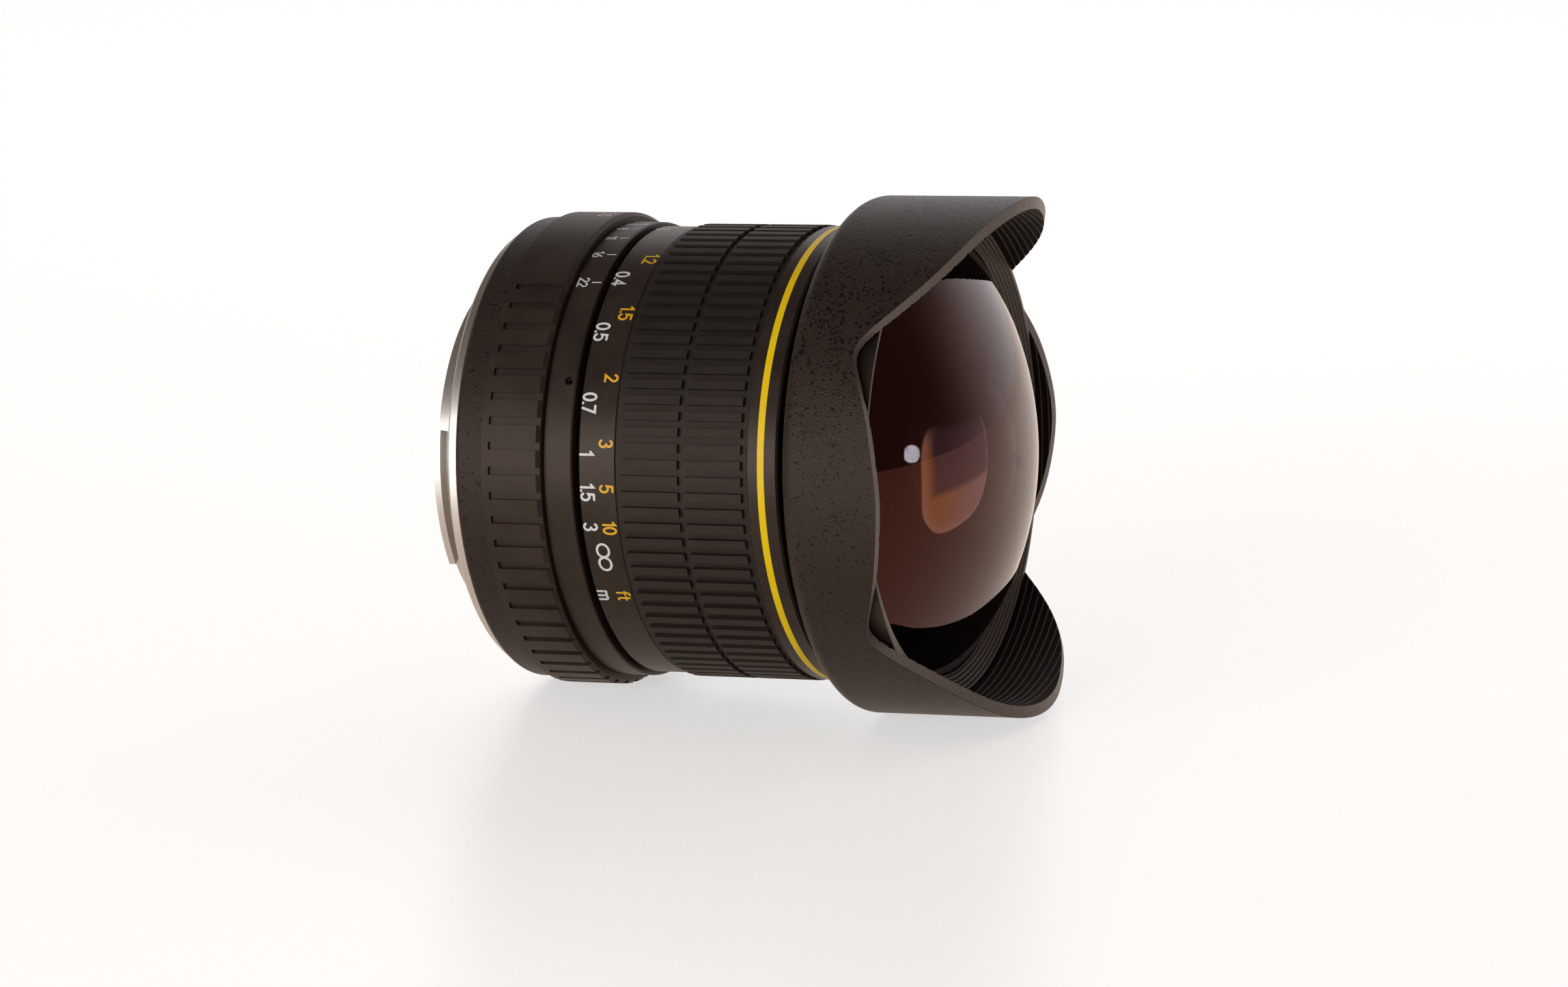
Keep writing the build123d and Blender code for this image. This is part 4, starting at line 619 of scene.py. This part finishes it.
# Figures as strokes in a box one unit high; the width comes with each
FIGURES = {
    "0": (0.50, [arc(0.25, 0.5, 0.25, 0.5, 90, 450, 30)]),
    "1": (0.24, [run((0.0, 0.80), (0.20, 1.0), (0.20, 0.0))]),
    "2": (0.50, [joined(arc(0.25, 0.74, 0.24, 0.26, 170, -38, 16),
                        run((0.03, 0.0), (0.50, 0.0)))]),
    "3": (0.50, [arc(0.23, 0.76, 0.23, 0.24, 150, -80, 14),
                 arc(0.23, 0.27, 0.26, 0.27, 82, -150, 16)]),
    "4": (0.54, [run((0.38, 0.0), (0.38, 1.0), (0.0, 0.26), (0.54, 0.26))]),
    "5": (0.50, [joined(run((0.46, 1.0), (0.08, 1.0), (0.04, 0.56)),
                        arc(0.24, 0.32, 0.26, 0.32, 118, -148, 18))]),
    "6": (0.50, [joined(run((0.38, 1.0)), arc(0.25, 0.29, 0.24, 0.29, 150, 510, 26))]),
    "7": (0.48, [run((0.0, 1.0), (0.48, 1.0), (0.16, 0.0))]),
    "8": (0.50, [arc(0.25, 0.76, 0.21, 0.24, -90, 270, 24),
                 arc(0.25, 0.26, 0.25, 0.26, 90, 450, 26)]),
    ".": (0.08, [run((0.03, 0.0), (0.05, 0.0))]),
    "m": (0.78, [run((0.0, 0.0), (0.0, 0.68)),
                 joined(run((0.0, 0.46)), arc(0.195, 0.48, 0.195, 0.20, 165, 0, 10),
                        run((0.39, 0.0))),
                 joined(run((0.39, 0.46)), arc(0.585, 0.48, 0.195, 0.20, 165, 0, 10),
                        run((0.78, 0.0)))]),
    "f": (0.34, [joined(arc(0.30, 0.82, 0.18, 0.18, 75, 180, 8), run((0.12, 0.0))),
                 run((0.0, 0.64), (0.30, 0.64))]),
    "t": (0.32, [joined(run((0.12, 0.92), (0.12, 0.16)),
                        arc(0.26, 0.16, 0.14, 0.16, 180, 280, 8)),
                 run((0.0, 0.64), (0.30, 0.64))]),
    INFINITY: (1.24, [joined(arc(0.31, 0.36, 0.31, 0.27, 180, 42, 12),
                             arc(0.93, 0.36, 0.31, 0.27, 222, 498, 26),
                             arc(0.31, 0.36, 0.31, 0.27, 318, 180, 14))]),
}
FIGURE_GAP = 0.17

# Strokes: steps of an end's quarter circle, how far a corner may run out, and a length of nothing
CAP_STEPS = 5
SHARPEST_MITRE = 0.45
TINY = 1e-6


def rounded_end(at, way, width, turn):
    """Half of a round cap at each side of a stroke's end: two quarter circles that meet ahead
    of the end, at half the width from it. turn is 1 at the last end and -1 at the first."""
    t = np.linspace(0, math.pi / 2, CAP_STEPS + 1)[1:]
    across = np.array((-way[1], way[0])) * turn
    out, ahead = np.cos(t)[:, None] * across, np.sin(t)[:, None] * way
    return at + width / 2 * (out + ahead), at + width / 2 * (ahead - out)


def stroke(path, width):
    """One pen stroke as a flat ribbon with round ends.

    Each path point is widened by half the width to both sides of the mitre direction, which
    halves the turn there. Returns points and quads in the letter's plane."""
    path = path[np.r_[True, np.linalg.norm(np.diff(path, axis=0), axis=1) > TINY]]
    closed = np.linalg.norm(path[0] - path[-1]) < TINY
    step = np.diff(path, axis=0)
    step /= np.linalg.norm(step, axis=1)[:, None]
    before = np.vstack((step[-1:] if closed else step[:1], step))
    after = np.vstack((step, step[:1] if closed else step[-1:]))
    middle = before + after
    middle /= np.maximum(np.linalg.norm(middle, axis=1), TINY)[:, None]
    mitre = 1 / np.maximum((middle * before).sum(1), SHARPEST_MITRE)
    side = np.column_stack((-middle[:, 1], middle[:, 0])) * (mitre * width / 2)[:, None]
    left, right = path + side, path - side
    if not closed:
        first_left, first_right = rounded_end(path[0], -step[0], width, -1)
        last_left, last_right = rounded_end(path[-1], step[-1], width, 1)
        left = np.vstack((first_left[::-1], left, last_left))
        right = np.vstack((first_right[::-1], right, last_right))
    count = len(left)
    k = np.arange(count - 1)
    return np.vstack((left, right)), np.column_stack((k, count + k, count + k + 1, k + 1))


def on_ring(station, around, angle, radius):
    """Flat print laid on a ring, in millimetres: x is the station, and around, a length along
    the ring, is divided by the radius and added to the angle. Angles run from the near side (0)
    over the top (90), so y is minus the radius times cos, and z the radius times sin."""
    t = math.radians(angle) + around / radius
    r = radius + PRINT_LIFT
    return np.column_stack((station, -r * np.cos(t), r * np.sin(t))) * MM


def add_print(name, body, material, ribbons):
    """Joins ribbons of (points, quads) into one piece, each face turned away from the axis."""
    starts = np.cumsum([0] + [len(points) for points, _ in ribbons[:-1]])
    points = np.vstack([points for points, _ in ribbons])
    quads = np.vstack([quads + start for (_, quads), start in zip(ribbons, starts)])
    a, b, c, d = points[quads].transpose(1, 0, 2)
    normal = np.cross(b - a, c - a) + np.cross(c - a, d - a)
    outward = (a + b + c + d) * (0, 1, 1)
    wrong = (normal * outward).sum(1) < 0
    quads = np.where(wrong[:, None], quads[:, ::-1], quads)
    add_piece(name, points, quads, body, material)


def figures(labels, radius, station, height, weight):
    """Ribbons of the figures on a ring; labels are pairs of (text, middle angle).

    A figure's top points along +X, and a text reads down the near side: the letter's y times
    the height is added to the station, and its x times the height runs back round the ring."""
    ribbons = []
    for text, angle in labels:
        cursor = -(sum(FIGURES[mark][0] for mark in text) + FIGURE_GAP * (len(text) - 1)) / 2
        for mark in text:
            width, paths = FIGURES[mark]
            for path in paths:
                flat, quads = stroke(path + (cursor, 0), weight / height)
                x, y = flat.T * height
                ribbons.append((on_ring(station + y, -x, angle, radius), quads))
            cursor += width + FIGURE_GAP
    return ribbons


def ticks(angles, radius, start, end, width):
    """Ribbons of straight marks along the axis, from one station to another."""
    flat, quads = stroke(run((start, 0.0), (end, 0.0)), width)
    return [(on_ring(flat[:, 0], flat[:, 1], angle, radius), quads) for angle in angles]


def distance_scales(white, orange):
    """Metres in white and feet in orange, on the focus ring's printed band."""
    metres = [("0.3", 90.8), ("0.4", 59.0), ("0.5", 41.3), ("0.7", 22.0), ("1", 9.3),
              ("1.5", -0.5), ("3", -9.5), ("m", -29.5)]
    feet = [("1", 90.8), ("1.2", 67.5), ("1.5", 47.0), ("2", 28.5), ("3", 11.8), ("5", 0.5),
            ("10", -9.7), ("ft", -29.5)]
    add_print("metre_scale", "focus_ring", white,
              figures(metres, SCALE_R, station=20.98, height=1.95, weight=0.36)
              + figures([(INFINITY, -17.8)], SCALE_R, station=22.10, height=3.4, weight=0.36))
    add_print("feet_scale", "focus_ring", orange,
              figures(feet, SCALE_R, station=23.95, height=1.9, weight=0.33))


def stop_scale(white):
    """The stops, evenly spread because each takes the same turn of the aperture ring."""
    first, pitch = 90.0, 10.4
    stops = [(text, first + k * pitch) for k, text in enumerate("3.5 5.6 8 11 16 22".split())]
    add_print("stop_scale", "aperture_ring", white,
              figures(stops, APERTURE_R, station=11.9, height=1.9, weight=0.30))


def depth_of_field_scale(white):
    """Stops and lines in pairs round the index line at the top of the index ring."""
    top, spread = 90.0, 1.25
    depth = [("8", 4.6), ("11", 10.4), ("16", 17.8), ("22", 27.0)]
    pairs = [(text, top + side * angle * spread) for text, angle in depth for side in (-1, 1)]
    add_print("depth_scale", "barrel", white,
              figures(pairs, INDEX_R, station=16.0, height=1.5, weight=0.24))
    add_print("depth_lines", "barrel", white,
              ticks([angle for _, angle in pairs], INDEX_R, start=18.2, end=19.5, width=0.22)
              + ticks([top], INDEX_R, start=16.2, end=19.5, width=0.5))


# Studio

def camera():
    """The photograph's camera: its place and turn were fitted to the lens's known rings.

    It looks at the target from the direction of azimuth, 0 at the near side and growing
    towards +X, and height, and is then rolled about its line of sight."""
    azimuth, height, roll = (math.radians(angle) for angle in (22.384, 10.5, -2.79))
    target = np.array((38.73, 0.0, -6.24)) * MM
    distance = 988.5 * MM
    back = np.array((math.sin(azimuth) * math.cos(height), -math.cos(azimuth) * math.cos(height),
                     math.sin(height)))
    right = np.cross(-back, (0, 0, 1))
    right /= np.linalg.norm(right)
    up = np.cross(right, -back)
    across = math.cos(roll) * right + math.sin(roll) * up
    upward = -math.sin(roll) * right + math.cos(roll) * up
    data = bpy.data.cameras.new("camera")
    data.sensor_width = 36.0
    data.lens = 155.35
    data.clip_start = 0.05
    data.clip_end = 20.0
    view = bpy.data.objects.new("camera", data)
    bpy.context.scene.collection.objects.link(view)
    turned = np.column_stack((across, upward, back, target + distance * back))
    view.matrix_world = Matrix([[*row] for row in turned] + [[0, 0, 0, 1]])
    bpy.context.scene.camera = view


def white_table():
    """White in the picture and in what glass and metal show of it, with the lens's shadow."""
    s = Finish("white_table")
    sees = s.add("LightPath").outputs
    cloth = s.shader(Base_Color=(0.88, 0.87, 0.855), Roughness=0.32, IOR=1.35)
    tone = s.mix(sees["Is Glossy Ray"], (1, 0.995, 0.99), (1.0, 0.82, 0.68))
    seen = s.math("MAXIMUM", sees["Is Camera Ray"], sees["Is Glossy Ray"])
    seen = s.math("MAXIMUM", seen, sees["Is Transmission Ray"])
    glow = s.add("Emission", {"Color": tone, "Strength": s.times(seen, 0.56)}).outputs[0]
    return s.done(s.add("AddShader", {0: cloth, 1: glow}).outputs[0])


def table():
    """A plane on which the aperture ring and the hood both rest: it touches the aperture ring
    near its front edge, and falls from there towards the hood."""
    half, touch, slope = 6000.0, 15.3, 0.066
    corners = np.array([(x, y) for x in (-half, half) for y in (-half, half)])
    z = -APERTURE_R - slope * (corners[:, 0] - touch)
    mesh = bpy.data.meshes.new("table")
    mesh.from_pydata((np.column_stack((corners, z)) * MM).tolist(), [], [(0, 2, 3, 1)])
    mesh.materials.append(white_table())
    plane = bpy.data.objects.new("table", mesh)
    bpy.context.scene.collection.objects.link(plane)


def surroundings():
    """A white sweep behind the lens, and a dim warm room overhead, ahead and at the camera.

    The share of white is how far a direction leans to the back, times how low it is."""
    world = bpy.data.worlds.new("studio")
    bpy.context.scene.world = world
    s = Nodes(world)
    way = s.add("TexCoord").outputs["Generated"]

    def lean(direction, low, high):
        """How far a way leans towards a direction: 0 up to low, 1 from high on."""
        dot = s.add("VectorMath", {0: way, 1: Vector(direction).normalized()},
                    operation="DOT_PRODUCT").outputs["Value"]
        span = s.add("MapRange", {"Value": dot, "From Min": low, "From Max": high},
                     interpolation_type="SMOOTHSTEP")
        return span.outputs["Result"]

    back = lean((-0.10, 0.99, 0.0), low=0.25, high=0.92)
    down = lean((0, 0, -1), low=-0.62, high=-0.20)
    white = s.times(back, down)
    room = s.ramp(white, (0.0, (0.20, 0.165, 0.145)), (1.0, (1, 1, 1)))
    sky = s.mix(s.add("LightPath").outputs["Is Camera Ray"], room, (1, 1, 1))
    shown = s.add("Background", {"Color": sky, "Strength": 1.0}).outputs[0]
    s.add("OutputWorld", {"Surface": shown})


def softbox(name, place, aim, size, watts):
    """A soft lamp that looks from one point at another, in metres."""
    data = bpy.data.lights.new(name, "AREA")
    data.shape = "RECTANGLE"
    data.size, data.size_y = size
    data.energy = watts
    lamp = bpy.data.objects.new(name, data)
    bpy.context.scene.collection.objects.link(lamp)
    lamp.location = place
    lamp.rotation_euler = (Vector(aim) - Vector(place)).to_track_quat("-Z", "Y").to_euler()


def lamps():
    """A broad lamp before the lens, and a weak one over its back."""
    softbox("lamp_front", (-0.25, -0.95, 0.17), (0.04, 0, -0.01), size=(0.8, 0.34), watts=5.4)
    softbox("lamp_back", (0.05, 0.65, 0.50), (0.04, 0, 0), size=(0.8, 0.3), watts=0.9)


camera()
table()
surroundings()
lamps()

outside_finishes()
inside_finishes()
dome_edge_paint()
# A sheet with a painted, glowing reflection of the inner coatings, before the second element
painted_reflection_sheet()
# A black plate behind the blades with a painted glow of daylight
glow_plate()

print_white = printed_paint("print_white", (0.86, 0.85, 0.83))
print_orange = printed_paint("print_orange", (0.95, 0.50, 0.012))
distance_scales(print_white, print_orange)
stop_scale(print_white)
depth_of_field_scale(print_white)

bpy.context.scene.view_settings.view_transform = "Standard"
